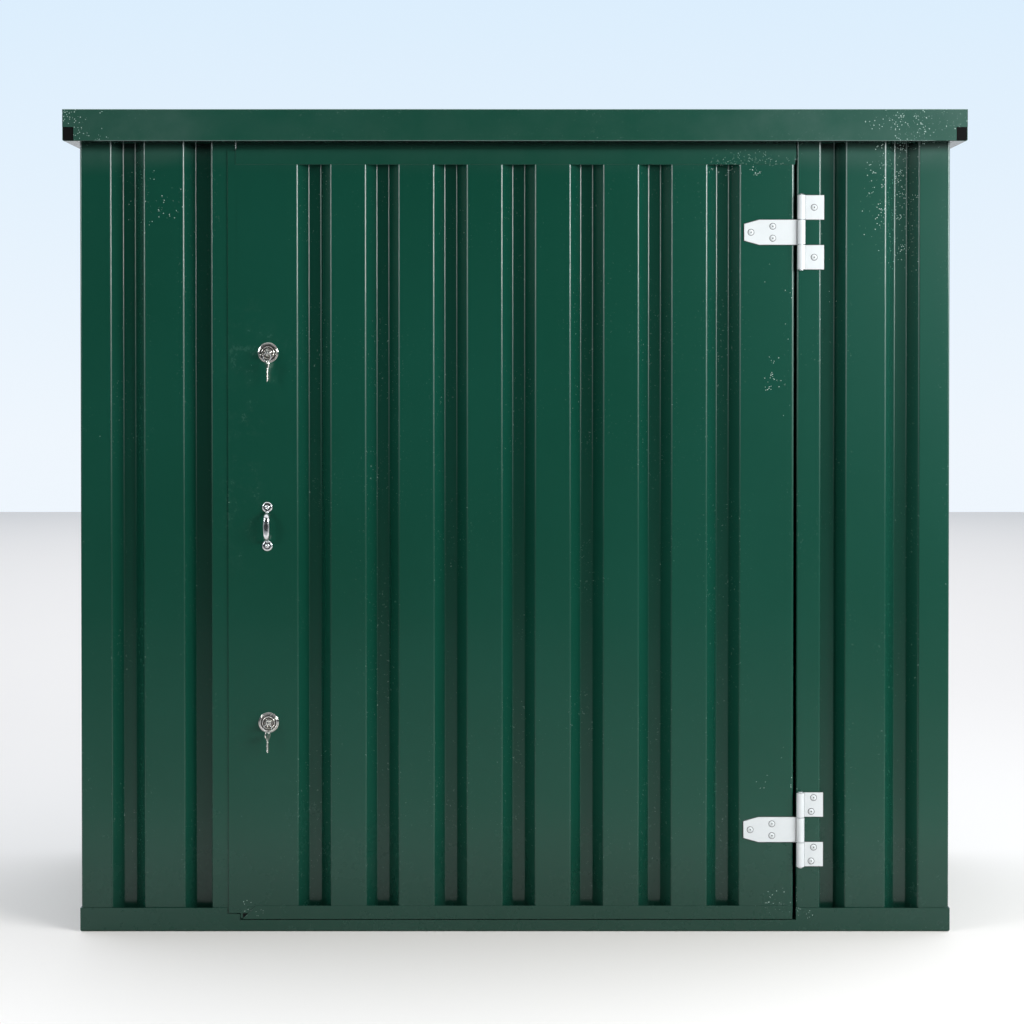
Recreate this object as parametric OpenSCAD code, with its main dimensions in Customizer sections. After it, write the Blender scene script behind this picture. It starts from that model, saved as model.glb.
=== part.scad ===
// Flat-pack steel storage container with one corrugated door, two key locks and a pull handle.
// Millimetres, +Z up, front towards -Y, origin on the ground under the middle of the roof.
// Every wall is drawn in its own frame: u runs along the wall, v runs inwards from its outer plane.

/* [Body] */
// Width of the body over its corner posts
body_w = 2200; // [1900:10:2800]
// Depth of the body over its corner posts
body_d = 1100; // [900:10:2400]
// Height from the ground to the top of the roof
overall_h = 2080; // [1900:10:2400]

/* [Base frame] */
// Height of the outer lip that the wall sheets stand behind
base_h = 60; // [50:1:80]
// Height of the floor and of the sill in the doorway
floor_h = 30; // [24:1:40]
// Width of the base channel
base_channel_w = 60; // [54:1:80]
// Width of the shelf that carries the floor plates
base_shelf_w = 25; // [15:1:40]
// Thickness of the base channel
base_t = 2.5; // [2:0.5:4]
// Gap between the base lip and the walls
base_clear = 0.5; // [0.2:0.1:1]
// Thickness of the floor plates and of the sill plate
floor_t = 1.5; // [1:0.5:3]
// Number of bearers under the floor and under the roof
bearers = 3; // [2:1:5]
// Width of a bearer
bearer_w = 40; // [30:1:60]
// Height of a roof bearer
roof_bearer_h = 40; // [30:1:60]

/* [Corner posts] */
// Width of each face of a corner post
post_face = 76; // [60:1:100]
// Thickness of the corner posts and door jambs
post_t = 2; // [1.5:0.5:3]
// Thickness of the bolting cleats
cleat_t = 4; // [3:0.5:6]

/* [Corrugated sheets] */
// Thickness of the wall and door sheets
sheet_t = 1.0; // [0.8:0.1:2]
// Depth of a rib below the flats
rib_depth = 35; // [25:1:40]
// Width of a rib at the flats
rib_mouth = 84; // [60:1:100]
// Width of a rib at its floor
rib_floor = 31; // [20:1:45]
// Inside radius of the folds
bend_r = 2; // [1:0.5:3]
// Rib spacing in the two front panels
front_rib_pitch = 184; // [150:1:220]
// Number of ribs in each side wall
side_ribs = 6; // [4:1:12]
// Number of ribs in each half of the back wall
back_ribs = 6; // [4:1:9]

/* [Doorway] */
// Clear width between the jambs
opening_w = 1416; // [900:1:1500]
// How far the doorway sits to the right of the middle
opening_shift = 5; // [-100:1:100]
// Width of the jamb on the lock side
lock_jamb_face = 66; // [50:1:90]
// Width of the jamb on the hinge side
hinge_jamb_face = 61; // [50:1:90]
// Width of the jamb's flanges
jamb_flange = 26; // [20:1:30]
// Distance from the top of the roof to the underside of the header
header_drop = 125; // [110:1:200]

/* [Door] */
// Number of ribs in the door
door_ribs = 7; // [3:1:9]
// Flat on the lock side, from the doorway edge to the first rib
lock_flat = 153; // [130:1:220]
// Flat on the hinge side, from the last rib to the doorway edge
hinge_flat = 144; // [120:1:200]
// How far the door's cover flange laps over the lock jamb
cover_lap = 24; // [15:1:40]
// Gap between the door and the hinge jamb
hinge_gap = 7.5; // [5:0.5:12]
// Gap between the door's frame and the lock jamb
lock_gap = 5; // [4:0.5:10]
// Gap between the door skin and the jamb behind it
door_clear = 2; // [1.5:0.5:4]
// Gap between the door and the sill
sill_gap = 2; // [2:0.5:8]
// How far the door laps over the header
header_lap = 28; // [15:1:35]
// Height of the strip along the door's top edge
top_strip_h = 39; // [33:1:60]
// Height of the strip along the door's bottom edge
bottom_strip_h = 34; // [25:1:60]
// Width of the stile behind the door's lock edge
lock_stile_w = 50; // [35:1:52]
// Width of the stile behind the door's hinge edge
hinge_stile_w = 68; // [66:1:90]
// Thickness of the cross braces behind the door
brace_t = 3; // [2:0.5:4]

/* [Hinges] */
// Height of one knuckle and its leaf
leaf_h = 63; // [50:1:90]
// Length of the strap from the pin
strap_l = 144; // [120:1:150]
// Reach of the jamb plates from the pin
plate_l = 58; // [48:1:62]
// Thickness of the leaves
leaf_t = 4; // [3:0.5:5]
// Outside radius of the knuckles
knuckle_r = 10; // [9:0.5:12]
// Radius of the hinge pin
pin_r = 5; // [4:0.5:6]
// Distance from the doorway edge to the pin
pin_inset = 10; // [8:1:14]
// Height of the upper hinge below the header
upper_hinge_drop = 182; // [120:1:400]
// Height of the lower hinge above the floor
lower_hinge_rise = 230; // [130:1:400]

/* [Locks and handle] */
// Distance from the doorway edge to the lock axis
lock_inset = 79; // [78:1:95]
// Height of the upper lock above the ground
upper_lock_z = 1469; // [1300:1:1600]
// Height of the lower lock above the ground
lower_lock_z = 532; // [350:1:700]
// Radius of the lock's rosette
rosette_r = 26; // [20:1:27]
// Radius of the lock's body
lock_body_r = 14; // [12:0.5:16]
// Radius of the turning plug
plug_r = 7; // [6:0.5:8]
// Length of the locking cam from the plug's axis
cam_l = 95; // [90:1:97]
// Height of the handle's middle above the ground
handle_z = 1029; // [900:1:1150]
// Distance between the handle's screws
handle_span = 98; // [80:1:128]
// How far the handle stands off the door
handle_out = 34; // [28:1:38]

/* [Roof] */
// How far the gutters stand out from the side walls
gutter_out = 36; // [30:1:60]
// How far the fascias stand out from the front and back walls
fascia_out = 46; // [44:1:80]
// Height of the fascias
fascia_h = 80; // [70:1:100]
// Depth of the roof sheet's seat below the top of the roof
roof_seat = 34; // [30:1:40]
// Thickness of the fascias and gutters
roof_t = 1.5; // [1:0.5:2]
// Width of the drain notch at each fascia end
notch_w = 28; // [20:1:30]
// Height of the drain notch at each fascia end
notch_h = 35; // [25:1:40]
// Length of the rubber plugs in the gutter ends
end_plug_l = 10; // [6:1:20]
// Height of the ribs in the roof sheets
roof_rib_h = 25; // [15:1:28]
// Number of ribs in each roof sheet
roof_ribs = 3; // [2:1:6]

/* [Hidden] */
$fn = 48;
bend_steps = 3;
touch = 0.2;              // gap left between pieces that are pressed together
run = 0.1;                // radial gap of a turning fit
front = -body_d / 2;      // Y of the front wall plane
open_l = opening_shift - opening_w / 2;
open_r = opening_shift + opening_w / 2;
header_z = overall_h - header_drop;
soffit_z = overall_h - fascia_h;
seat_z = overall_h - roof_seat;        // underside of the roof seat
wall_bottom = base_t + bend_r;         // the walls stand clear of the folds above and below them
wall_top = seat_z - bend_r;
jamb_depth = post_t + rib_depth;       // the panels' rib floors lie against the jamb flanges
floor_under = floor_h - floor_t;
base_out = base_clear + base_t;        // how far the base stands outside the walls
base_inner = base_channel_w - base_out;
cleat_size = base_inner - base_t - bend_r - 0.5;   // bolting cleats in the posts, inside the base channel
sheet_start = 14;                      // where a wall sheet starts, measured from the corner
first_rib = post_face + 2;             // where the first rib opens, measured from the corner
front_rib_1 = first_rib + rib_mouth / 2;
rib_run = (rib_mouth - rib_floor) / 2;

// Door planes, measured inwards from the front wall plane
skin_v = -door_clear - sheet_t;        // front of the door skin
skin_back = -door_clear;
door_back = skin_v + rib_depth + sheet_t;
strip_v = skin_v - roof_t;             // front of the edge strips
door_l = open_l + lock_gap;
door_r = open_r - hinge_gap;
door_bottom = floor_h + sill_gap;
skin_bottom = door_bottom + 15;
rail_top = header_z - 3.5;             // top of the door's frame, under the header
door_top = header_z + header_lap;
door_rib_1 = open_l + lock_flat + rib_mouth / 2;
door_rib_pitch = (opening_w - lock_flat - hinge_flat - rib_mouth) / (door_ribs - 1);
brace_h = 50;
brace_z = [760, 1240];

// Hinges
pin_x = open_r + pin_inset;
pin_v = -knuckle_r - 0.3;
upper_hinge_z = header_z - upper_hinge_drop;
lower_hinge_z = floor_h + lower_hinge_rise;
knuckle_gap = 0.5;
strap_neck = 38;                       // length of the strap's tapered end
strap_tip_h = 42;
rivet_head_r = 7;
rivet_head_h = 3.5;
rivet_shank_r = 3.2;
strap_rivets = [[strap_l - 17, 0], [strap_l - 72, 15], [strap_l - 72, -15]];
one_rivet = [[plate_l - 25, 0]];
two_rivets = [[plate_l - 24, 18], [plate_l - 30, -17]];

// Locks and keys, measured outwards from the door skin unless named otherwise
lock_x = open_l + lock_inset;
handle_x = lock_x - 3;
rosette_h = 10;
cam_v = jamb_depth + 4;                // the cam passes behind the keeper
cam_t = 4;
cam_w = 20;
tail_size = 8;                         // square tail of the plug
keeper_t = 3;
keeper_h = 60;
bow_r = 11.5;
bow_t = 3;
blade_t = 2.4;
blade_w = 8;
blade_l = 24;
key_hole_r = 2.5;
hole_from_bow = 5.5;                   // from the bow's centre to its hole
key_hole_out = 29.5;                   // from the door skin to the inserted key's hole
ring_r = 10;                           // radius of the ring's wire line
wire_r = 0.9;
hang = key_hole_r - wire_r - 0.2;      // the wire rests in the bottom of the hole
spare_l = 34;                          // length of the spare key's blade

paint = [0.09, 0.29, 0.23];
white_paint = [0.88, 0.88, 0.88];
zinc = [0.72, 0.73, 0.74];
chrome = [0.82, 0.82, 0.83];
nickel = [0.76, 0.73, 0.67];
rubber = [0.08, 0.08, 0.08];

// ---- Folded sheet metal ----

function turned(v, a) = [v.x * cos(a) - v.y * sin(a), v.x * sin(a) + v.y * cos(a)];
function left_of(d) = [-d.y, d.x];
function unit(v) = v / norm(v);
function reversed(list) = [for (i = [len(list) - 1 : -1 : 0]) list[i]];

// The points of one fold at p, between the directions d1 and d2; metal lies to the left of the
// path, or to its right when t is negative
function fold(p, d1, d2, t) =
    let (angle = atan2(d1.x * d2.y - d1.y * d2.x, d1 * d2),
         side = sign(angle),
         r = side * t > 0 ? bend_r + abs(t) : bend_r,
         start = p - d1 * r * tan(abs(angle) / 2),
         centre = start + left_of(d1) * side * r)
    [for (k = [0 : bend_steps]) centre + turned(start - centre, angle * k / bend_steps)];

// A path with every inner corner folded to the bend radius
function folded_path(path, t) = [
    path[0],
    for (i = [1 : len(path) - 2])
        each fold(path[i], unit(path[i] - path[i - 1]), unit(path[i + 1] - path[i]), t),
    path[len(path) - 1]
];

// The same path moved to its left by t
function beside(path, t) = [
    for (i = [0 : len(path) - 1])
        let (n1 = i == 0 ? undef : left_of(unit(path[i] - path[i - 1])),
             n2 = i == len(path) - 1 ? undef : left_of(unit(path[i + 1] - path[i])))
        i == 0 ? path[i] + n2 * t
            : i == len(path) - 1 ? path[i] + n1 * t
            : path[i] + (n1 + n2) * t / (1 + n1 * n2)
];

module sheet_2d(path, t) {
    outer = folded_path(path, t);
    polygon(concat(outer, reversed(beside(outer, t))));
}

// One trapezoid rib of a sheet, centred on c, cut into the plane v
function rib(c, v) = [
    [c - rib_mouth / 2, v], [c - rib_floor / 2, v + rib_depth],
    [c + rib_floor / 2, v + rib_depth], [c + rib_mouth / 2, v]
];
function ribs(first, pitch, count, v) = [for (i = [0 : count - 1]) each rib(first + i * pitch, v)];

// ---- Frames and directions ----

// Puts children, drawn in a wall's u and v, on side k: 0 front, 1 right, 2 back, 3 left
module on_side(k) {
    along = k % 2 == 0 ? body_w : body_d;
    out = k % 2 == 0 ? body_d / 2 : body_w / 2;
    rotate([0, 0, 90 * k]) translate([-along / 2, -out, 0]) children();
}

// Children in the front wall's frame: X is the model's own, Y counts inwards from the front plane
module at_front() translate([0, front, 0]) children();

module upright(z0, z1) translate([0, 0, z0]) linear_extrude(z1 - z0) children();

// Extrudes a section drawn as [v, z] along X
module along_x(x0, x1) translate([x0, 0, 0]) rotate([90, 0, 90]) linear_extrude(x1 - x0) children();

// Extrudes a section drawn as [x, z] along Y
module along_y(y0, y1) translate([0, y1, 0]) rotate([90, 0, 0]) linear_extrude(y1 - y0) children();

// A cylinder along Y, from y0 to y1
module rod_y(r, y0, y1, sides = $fn) translate([0, y0, 0]) rotate([-90, 0, 0]) cylinder(r = r, h = y1 - y0, $fn = sides);

// Turns a section drawn as [radius, distance outwards] about the -Y axis
module turned_out() rotate([90, 0, 0]) rotate_extrude() children();

function side_length(k) = k % 2 == 0 ? body_w : body_d;

// Plan of a mitred frame member, for a member that reaches from v = -out to v = in
module mitred(k, out, in) {
    length = side_length(k);
    linear_extrude(overall_h)
        polygon([[-out, -out], [length + out, -out], [length - in, in], [in, in]]);
}

// ---- Base ----

module base_rail_section() sheet_2d([
    [-base_out, base_h], [-base_out, 0], [base_inner, 0],
    [base_inner, floor_under - base_t], [base_inner + base_shelf_w, floor_under - base_t]
], base_t);

module base_rail(k) color(paint) on_side(k) difference() {
    intersection() {
        along_x(-base_out, side_length(k) + base_out) base_rail_section();
        mitred(k, base_out, base_inner + base_shelf_w + base_t);
    }
    cleat_bolt_sites(side_length(k)) translate([0, 0, -1]) cylinder(r = bolt_r + touch, h = base_t + 2);
}

module base_front_rail() color(paint) difference() {
    base_rail(0);
    at_front() {
        translate([open_l + 5, -base_out - 1, floor_under]) cube([open_r - open_l - 5, base_out + 1, base_h]);
        // The door's cover flange comes down in front of the lip
        translate([open_l - cover_lap - 3, -base_out - 1, skin_bottom - 2])
            cube([cover_lap + 9, base_out + 1, base_h]);
    }
}

module base_bearers() color(zinc)
    for (i = [1 : bearers]) translate([body_w * i / (bearers + 1) - body_w / 2, 0, 0])
        along_y(front + base_inner + base_shelf_w + 1, -front - base_inner - base_shelf_w - 1)
            sheet_2d([[bearer_w / 2, 0], [-bearer_w / 2, 0], [-bearer_w / 2, floor_under],
                [bearer_w / 2, floor_under]], -post_t);

module floor_plates() color(zinc)
    for (side = [0, 1]) mirror([side, 0, 0])
        translate([touch, front + base_inner + 1, floor_under])
            cube([body_w / 2 - base_inner - 1 - touch, body_d - 2 * (base_inner + 1), floor_t]);

module sill_plate() color(paint) at_front()
    translate([open_l + 5 + touch, -base_out, floor_under])
        cube([open_r - open_l - 5 - 2 * touch, base_out + base_inner + 1 - touch, floor_t]);

// ---- Corner posts ----

bolt_r = 4;
bolt_near = 20;                        // bolt positions in a cleat, measured from the corner
bolt_far = cleat_size - 10;
bolt_head_h = 5.3;

// Where the cleat bolts pass through a frame member of that length
module cleat_bolt_sites(length)
    for (u = [bolt_far, length - bolt_far]) translate([u, bolt_near, 0]) children();

// Both bolts of one cleat, in the frame of a corner whose post opens towards +X and +Y
module corner_bolt_sites() {
    translate([bolt_far, bolt_near, 0]) children();
    translate([bolt_near, bolt_far, 0]) children();
}

// The cleat is welded to the post where no wall sheet starts yet
module cleat() {
    weld = sheet_start - 1;
    inner = post_t + sheet_t + 0.7;
    linear_extrude(cleat_t) difference() {
        polygon([[post_t, post_t], [weld, post_t], [weld, inner], [cleat_size, inner],
            [cleat_size, cleat_size], [inner, cleat_size], [inner, weld], [post_t, weld]]);
        corner_bolt_sites() circle(r = bolt_r + touch);
    }
}

// A post for the corner at the start of side k
module corner_post(k) color(paint) on_side(k) {
    upright(wall_bottom, wall_top) sheet_2d([[0, post_face], [0, 0], [post_face, 0]], post_t);
    translate([0, 0, base_t]) cleat();
    translate([0, 0, seat_z - cleat_t]) cleat();
}

// Hexagon bolts, head inside the container
module cleat_bolt(shank_l) {
    cylinder(r = 7.5, h = bolt_head_h, $fn = 6);
    translate([0, 0, -shank_l]) cylinder(r = bolt_r, h = shank_l);
}

module frame_bolts() color(zinc)
    for (k = [0 : 3]) on_side(k) corner_bolt_sites() {
        translate([0, 0, base_t + cleat_t]) cleat_bolt(base_t + cleat_t - 0.3);
        translate([0, 0, seat_z - cleat_t]) mirror([0, 0, 1]) cleat_bolt(cleat_t + roof_t - 0.3);
    }

// ---- Wall panels ----

// One front panel, drawn from its corner post to the jamb whose outer face is at jamb_u
module front_panel(jamb_u) {
    second = front_rib_1 + front_rib_pitch;
    upright(wall_bottom, wall_top) sheet_2d(concat(
        [[sheet_start, post_t]], rib(front_rib_1, post_t),
        [[second - rib_mouth / 2, post_t], [second - rib_floor / 2, jamb_depth], [jamb_u - 2, jamb_depth]]
    ), sheet_t);
}

module front_left_panel() color(paint) difference() {
    on_side(0) front_panel(open_l - lock_jamb_face + body_w / 2);
    at_front() jamb_screw_sites(-1) rod_y(screw_r + touch, -1, post_t + 1);
}

module front_right_panel() color(paint) difference() {
    mirror([1, 0, 0]) on_side(0) front_panel(body_w / 2 - open_r - hinge_jamb_face);
    at_front() jamb_screw_sites(1) rod_y(screw_r + touch, -1, post_t + 1);
}

module side_panel() {
    pitch = (body_d - 2 * first_rib - rib_mouth) / (side_ribs - 1);
    upright(wall_bottom, wall_top) sheet_2d(concat(
        [[sheet_start, post_t]], ribs(front_rib_1, pitch, side_ribs, post_t),
        [[body_d - sheet_start, post_t]]), sheet_t);
}

// Half of the back wall; the halves meet at flanges that point inwards
module back_panel() {
    pitch = (body_w - 2 * first_rib - rib_mouth) / (2 * back_ribs - 1);
    middle = body_w / 2 - touch / 2;
    upright(wall_bottom, wall_top) sheet_2d(concat(
        [[sheet_start, post_t]], ribs(front_rib_1, pitch, back_ribs, post_t),
        [[middle, post_t], [middle, post_t + 25]]), sheet_t);
}

// ---- Doorway ----

// A jamb of that face width, with its doorway side at u = 0
module jamb(face_w) upright(wall_bottom, wall_top) sheet_2d([
    [20, jamb_depth], [0, jamb_depth], [0, 0], [face_w, 0],
    [face_w, jamb_depth - post_t], [face_w + jamb_flange, jamb_depth - post_t]
], post_t);

screw_r = 2.5;
screw_z = [1038, 1524];

// The small screws that hold a panel to its jamb's flange: side is -1 for the lock side, 1 for the hinge side
module jamb_screw_sites(side) {
    x = side < 0 ? open_l - lock_jamb_face - 16.5 : open_r + hinge_jamb_face + 16.5;
    for (z = screw_z) translate([x, jamb_depth, z]) children();
}

module lock_jamb() color(paint) at_front() difference() {
    translate([open_l, 0, 0]) mirror([1, 0, 0]) jamb(lock_jamb_face);
    jamb_screw_sites(-1) rod_y(screw_r + touch, -post_t - 1, 1);
}

module hinge_jamb() color(paint) at_front() difference() {
    translate([open_r, 0, 0]) jamb(hinge_jamb_face);
    jamb_screw_sites(1) rod_y(screw_r + touch, -post_t - 1, 1);
    plate_rivet_sites() rod_y(rivet_shank_r + touch, -1, post_t + 1);
}

module jamb_screws() color(zinc) at_front()
    for (side = [-1, 1]) jamb_screw_sites(side) {
        rod_y(screw_r, -post_t, sheet_t);
        turned_out() translate([0, post_t]) square([4.5, 1.6]);
        rod_y(4.6, sheet_t, sheet_t + 4, 6);
    }

module door_header() color(paint) at_front()
    along_x(open_l + touch, open_r - touch) sheet_2d([
        [jamb_depth - 2, seat_z], [0, seat_z], [0, header_z], [jamb_depth, header_z],
        [jamb_depth, header_z + 15]
    ], post_t);

// Plates behind the lock jamb that the cams turn against
module lock_keepers() color(zinc) at_front()
    for (z = [upper_lock_z, lower_lock_z])
        translate([open_l - 20, jamb_depth, z - keeper_h / 2]) cube([20, keeper_t, keeper_h]);

// ---- Roof ----

// Section of a fascia, drawn outwards from the wall: flashing, web, soffit, riser and seat
function eave_path(out, top_z, lip) = [
    [out - lip, top_z], [out, top_z], [out, soffit_z], [base_clear, soffit_z],
    [base_clear, seat_z], [-50, seat_z]
];

module eave_section(out, top_z, lip) mirror([1, 0]) sheet_2d(eave_path(out, top_z, lip), -roof_t);

// What is cut from a seat's end, so that it meets the next side's seat at a mitre
module seat_mitre(gap) translate([0, 0, soffit_z - 1]) linear_extrude(fascia_h - roof_t + 1) polygon([
    [-fascia_out - 1, -base_clear], [gap - base_clear, -base_clear], [52 + gap, 52], [-fascia_out - 1, 52]]);

module fascia(k) color(paint) on_side(k) difference() {
    along_x(-gutter_out, body_w + gutter_out) eave_section(fascia_out, overall_h, fascia_out + 30);
    for (end = [0, 1]) translate([end * body_w, 0, 0]) mirror([end, 0, 0]) {
        translate([-gutter_out - 1, -fascia_out + roof_t, soffit_z - 1])
            cube([gutter_out + 1 - base_clear, fascia_out + 60, fascia_h - roof_t + 1]);
        translate([-gutter_out - 1, -fascia_out - 1, soffit_z - 1])
            cube([notch_w + 1, roof_t + 2, notch_h + 1]);
        seat_mitre(0);
    }
    cleat_bolt_sites(body_w) translate([0, 0, seat_z - 1]) cylinder(r = bolt_r + touch, h = roof_t + 2);
}

module gutter(k) color(paint) on_side(k) difference() {
    along_x(-fascia_out + roof_t, body_d + fascia_out - roof_t)
        eave_section(gutter_out, overall_h - roof_t, 8);
    for (end = [0, 1]) translate([end * body_d, 0, 0]) mirror([end, 0, 0]) seat_mitre(touch);
    cleat_bolt_sites(body_d) translate([0, 0, seat_z - 1]) cylinder(r = bolt_r + touch, h = roof_t + 2);
}

// A plug that closes one gutter end behind the fascia's drain notch
module gutter_end_plug() {
    gap = 0.2;
    low = soffit_z + roof_t + gap;
    high = soffit_z + notch_h + 4;
    outer = -gutter_out + roof_t + gap;
    inner = -base_clear - roof_t - gap;
    corner = bend_r + 1;
    start = -fascia_out + roof_t + gap;
    along_x(start, start + end_plug_l) polygon([[outer, high], [outer, low + corner], [outer + corner, low],
        [inner - corner, low], [inner, low + corner], [inner, high]]);
}

module gutter_end_plugs() color(rubber)
    for (k = [1, 3], end = [0, 1]) on_side(k) translate([end * body_d, 0, 0]) mirror([end, 0, 0]) gutter_end_plug();

// Half of the roof, ribs across the width; the halves meet at a standing seam
module roof_sheet() {
    span = body_d / 2 - 3;
    pitch = span / roof_ribs;
    foot = 60;
    crest = 24;
    z = seat_z + roof_t;
    along_x(-body_w / 2 - 8, body_w / 2 + 8) sheet_2d(concat(
        [[-span, z]],
        [for (i = [0 : roof_ribs - 1]) let (c = -span + pitch * (i + 0.5)) each
            [[c - foot / 2, z], [c - crest / 2, z + roof_rib_h], [c + crest / 2, z + roof_rib_h], [c + foot / 2, z]]],
        [[-touch / 2, z], [-touch / 2, z + 20]]
    ), sheet_t);
}

module roof_bearers() color(zinc)
    for (i = [1 : bearers]) translate([body_w * i / (bearers + 1) - body_w / 2, 0, 0])
        along_y(front + jamb_depth + 3, -front - jamb_depth - 3)
            sheet_2d([[bearer_w / 2, seat_z - roof_bearer_h], [-bearer_w / 2, seat_z - roof_bearer_h],
                [-bearer_w / 2, seat_z], [bearer_w / 2, seat_z]], -post_t);

// ---- Door leaf ----

module lock_sites() for (z = [upper_lock_z, lower_lock_z]) translate([lock_x, 0, z]) children();
module handle_screw_sites() for (s = [-1, 1]) translate([handle_x, 0, handle_z + s * handle_span / 2]) children();

// Places strap rivets on both hinges
module strap_rivet_sites()
    for (z = [upper_hinge_z, lower_hinge_z], p = strap_rivets)
        translate([pin_x - p.x, skin_v - leaf_t, z + p.y]) children();

// Places the jamb plates' rivets: one in each upper plate, two in each lower one
module plate_rivet_sites()
    for (s = [-1, 1]) {
        for (p = one_rivet) translate([pin_x + p.x, 0, upper_hinge_z + s * leaf_h + p.y]) children();
        for (p = two_rivets) translate([pin_x + p.x, 0, lower_hinge_z + s * leaf_h + p.y]) children();
    }

module door_skin() color(paint) at_front() difference() {
    union() {
        upright(skin_bottom, door_top - 5) sheet_2d(concat(
            [[open_l - cover_lap, skin_v]], ribs(door_rib_1, door_rib_pitch, door_ribs, skin_v),
            [[door_r, skin_v], [door_r, door_back]]), sheet_t);
        // Hem along the cover flange
        translate([open_l - cover_lap, skin_back - 0.01, skin_bottom])
            cube([10, sheet_t + 0.01, door_top - 5 - skin_bottom]);
    }
    // Everything that faces the header stops under it
    translate([open_l, skin_v - 1, rail_top - roof_t]) cube([opening_w, rib_depth + 10, 100]);
    lock_sites() rod_y(lock_body_r + touch, skin_v - 1, skin_back + 1);
    handle_screw_sites() rod_y(2.7, skin_v - 1, skin_back + 1);
    strap_rivet_sites() rod_y(rivet_shank_r + touch, 0, 20);
}

module door_top_rail() color(paint) at_front() {
    along_x(open_l - 3, door_r + 2.3) translate([strip_v, door_top - top_strip_h]) square([roof_t, top_strip_h]);
    along_x(open_l + touch, door_r + 2.3) translate([skin_v, rail_top]) square([sheet_t, door_top - rail_top]);
    along_x(door_l + 4, door_r - 2) union() {
        translate([skin_v, rail_top - roof_t]) square([door_back + roof_t + 1.5 - skin_v, roof_t]);
        translate([door_back + 1.5, rail_top - 36]) square([roof_t, 36]);
    }
}

module door_bottom_rail() color(paint) at_front() {
    mitre = 30;
    intersection() {
        along_x(door_l + 8, door_r - 2) union() {
            translate([strip_v, door_bottom]) square([roof_t, bottom_strip_h]);
            translate([strip_v, door_bottom]) square([door_back + 3 - strip_v, roof_t]);
        }
        // The strip's lock end is mitred
        along_y(strip_v - 1, door_back + 10) polygon([
            [door_l + 8, door_bottom], [door_r, door_bottom], [door_r, door_bottom + bottom_strip_h],
            [door_l + 8 + mitre, door_bottom + bottom_strip_h], [door_l + 8, door_bottom + bottom_strip_h - mitre]]);
    }
    along_x(door_l + 8, door_r - 2) translate([door_back + 1.5, door_bottom]) square([roof_t, bottom_strip_h]);
}

// A stile drawn from u = 0, its face against the back of the skin
module stile(width) upright(door_bottom + roof_t, rail_top - roof_t) sheet_2d([
    [14, door_back], [0, door_back], [0, skin_back], [width, skin_back],
    [width, door_back], [width - 14, door_back]
], sheet_t);

module door_lock_stile() color(paint) at_front() translate([door_l, 0, 0]) stile(lock_stile_w);

module door_hinge_stile() color(paint) at_front() difference() {
    translate([door_r - sheet_t - touch - hinge_stile_w, 0, 0]) stile(hinge_stile_w);
    strap_rivet_sites() rod_y(rivet_shank_r + touch, 0, 20);
}

module door_braces() color(paint) at_front()
    for (z = brace_z) translate([door_l + 2, door_back, z - brace_h / 2])
        cube([door_r - door_l - 6, brace_t, brace_h]);

// ---- Hinges ----

module knuckle(z, h) translate([pin_x, pin_v, z - h / 2]) cylinder(r = knuckle_r, h = h);
module pin_bore(z, h, gap) translate([pin_x, pin_v, z - h / 2 - 1]) cylinder(r = pin_r + gap, h = h + 2);

module hinge_strap(z) color(white_paint) at_front() difference() {
    union() {
        knuckle(z, leaf_h);
        translate([pin_x, skin_v, z]) rotate([90, 0, 0]) linear_extrude(leaf_t) polygon([
            [0, leaf_h / 2], [-strap_l + strap_neck, leaf_h / 2], [-strap_l, strap_tip_h / 2],
            [-strap_l, -strap_tip_h / 2], [-strap_l + strap_neck, -leaf_h / 2], [0, -leaf_h / 2]]);
    }
    pin_bore(z, leaf_h, run);
    strap_rivet_sites() rod_y(rivet_shank_r + touch, -1, leaf_t + 1);
}

module hinge_plates(z) color(white_paint) at_front() difference() {
    h = leaf_h - 2 * knuckle_gap;
    for (s = [-1, 1]) {
        knuckle(z + s * leaf_h, h);
        translate([pin_x, -leaf_t, z + s * leaf_h - h / 2]) cube([plate_l, leaf_t, h]);
    }
    for (s = [-1, 1]) pin_bore(z + s * leaf_h, h, touch / 4);
    plate_rivet_sites() rod_y(rivet_shank_r + touch, -leaf_t - 1, 1);
}

module hinge_pins() color(zinc) at_front()
    for (z = [upper_hinge_z, lower_hinge_z]) translate([pin_x, pin_v, z - 1.5 * leaf_h - 2]) {
        cylinder(r = pin_r, h = 3 * leaf_h + 4);
        translate([0, 0, 3 * leaf_h + 2.2]) cylinder(r1 = 8, r2 = 6, h = 2.5);
    }

// A domed rivet: head outwards from v = 0, shank of that length inwards
module rivet(shank_l) {
    ball = (rivet_head_r * rivet_head_r + rivet_head_h * rivet_head_h) / (2 * rivet_head_h);
    intersection() {
        translate([0, ball - rivet_head_h, 0]) sphere(r = ball);
        rod_y(rivet_head_r + 1, -rivet_head_h - 1, 0);
    }
    rod_y(rivet_shank_r, -0.01, shank_l + 1);
    rod_y(rivet_shank_r + 1.4, shank_l + 0.1, shank_l + 3);
}

module strap_rivets() color(white_paint) at_front() strap_rivet_sites() rivet(leaf_t + 2 * sheet_t);

module hinge_plate_rivets() color(white_paint) at_front() plate_rivet_sites() translate([0, -leaf_t, 0]) rivet(leaf_t + post_t);

// ---- Handle ----

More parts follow.
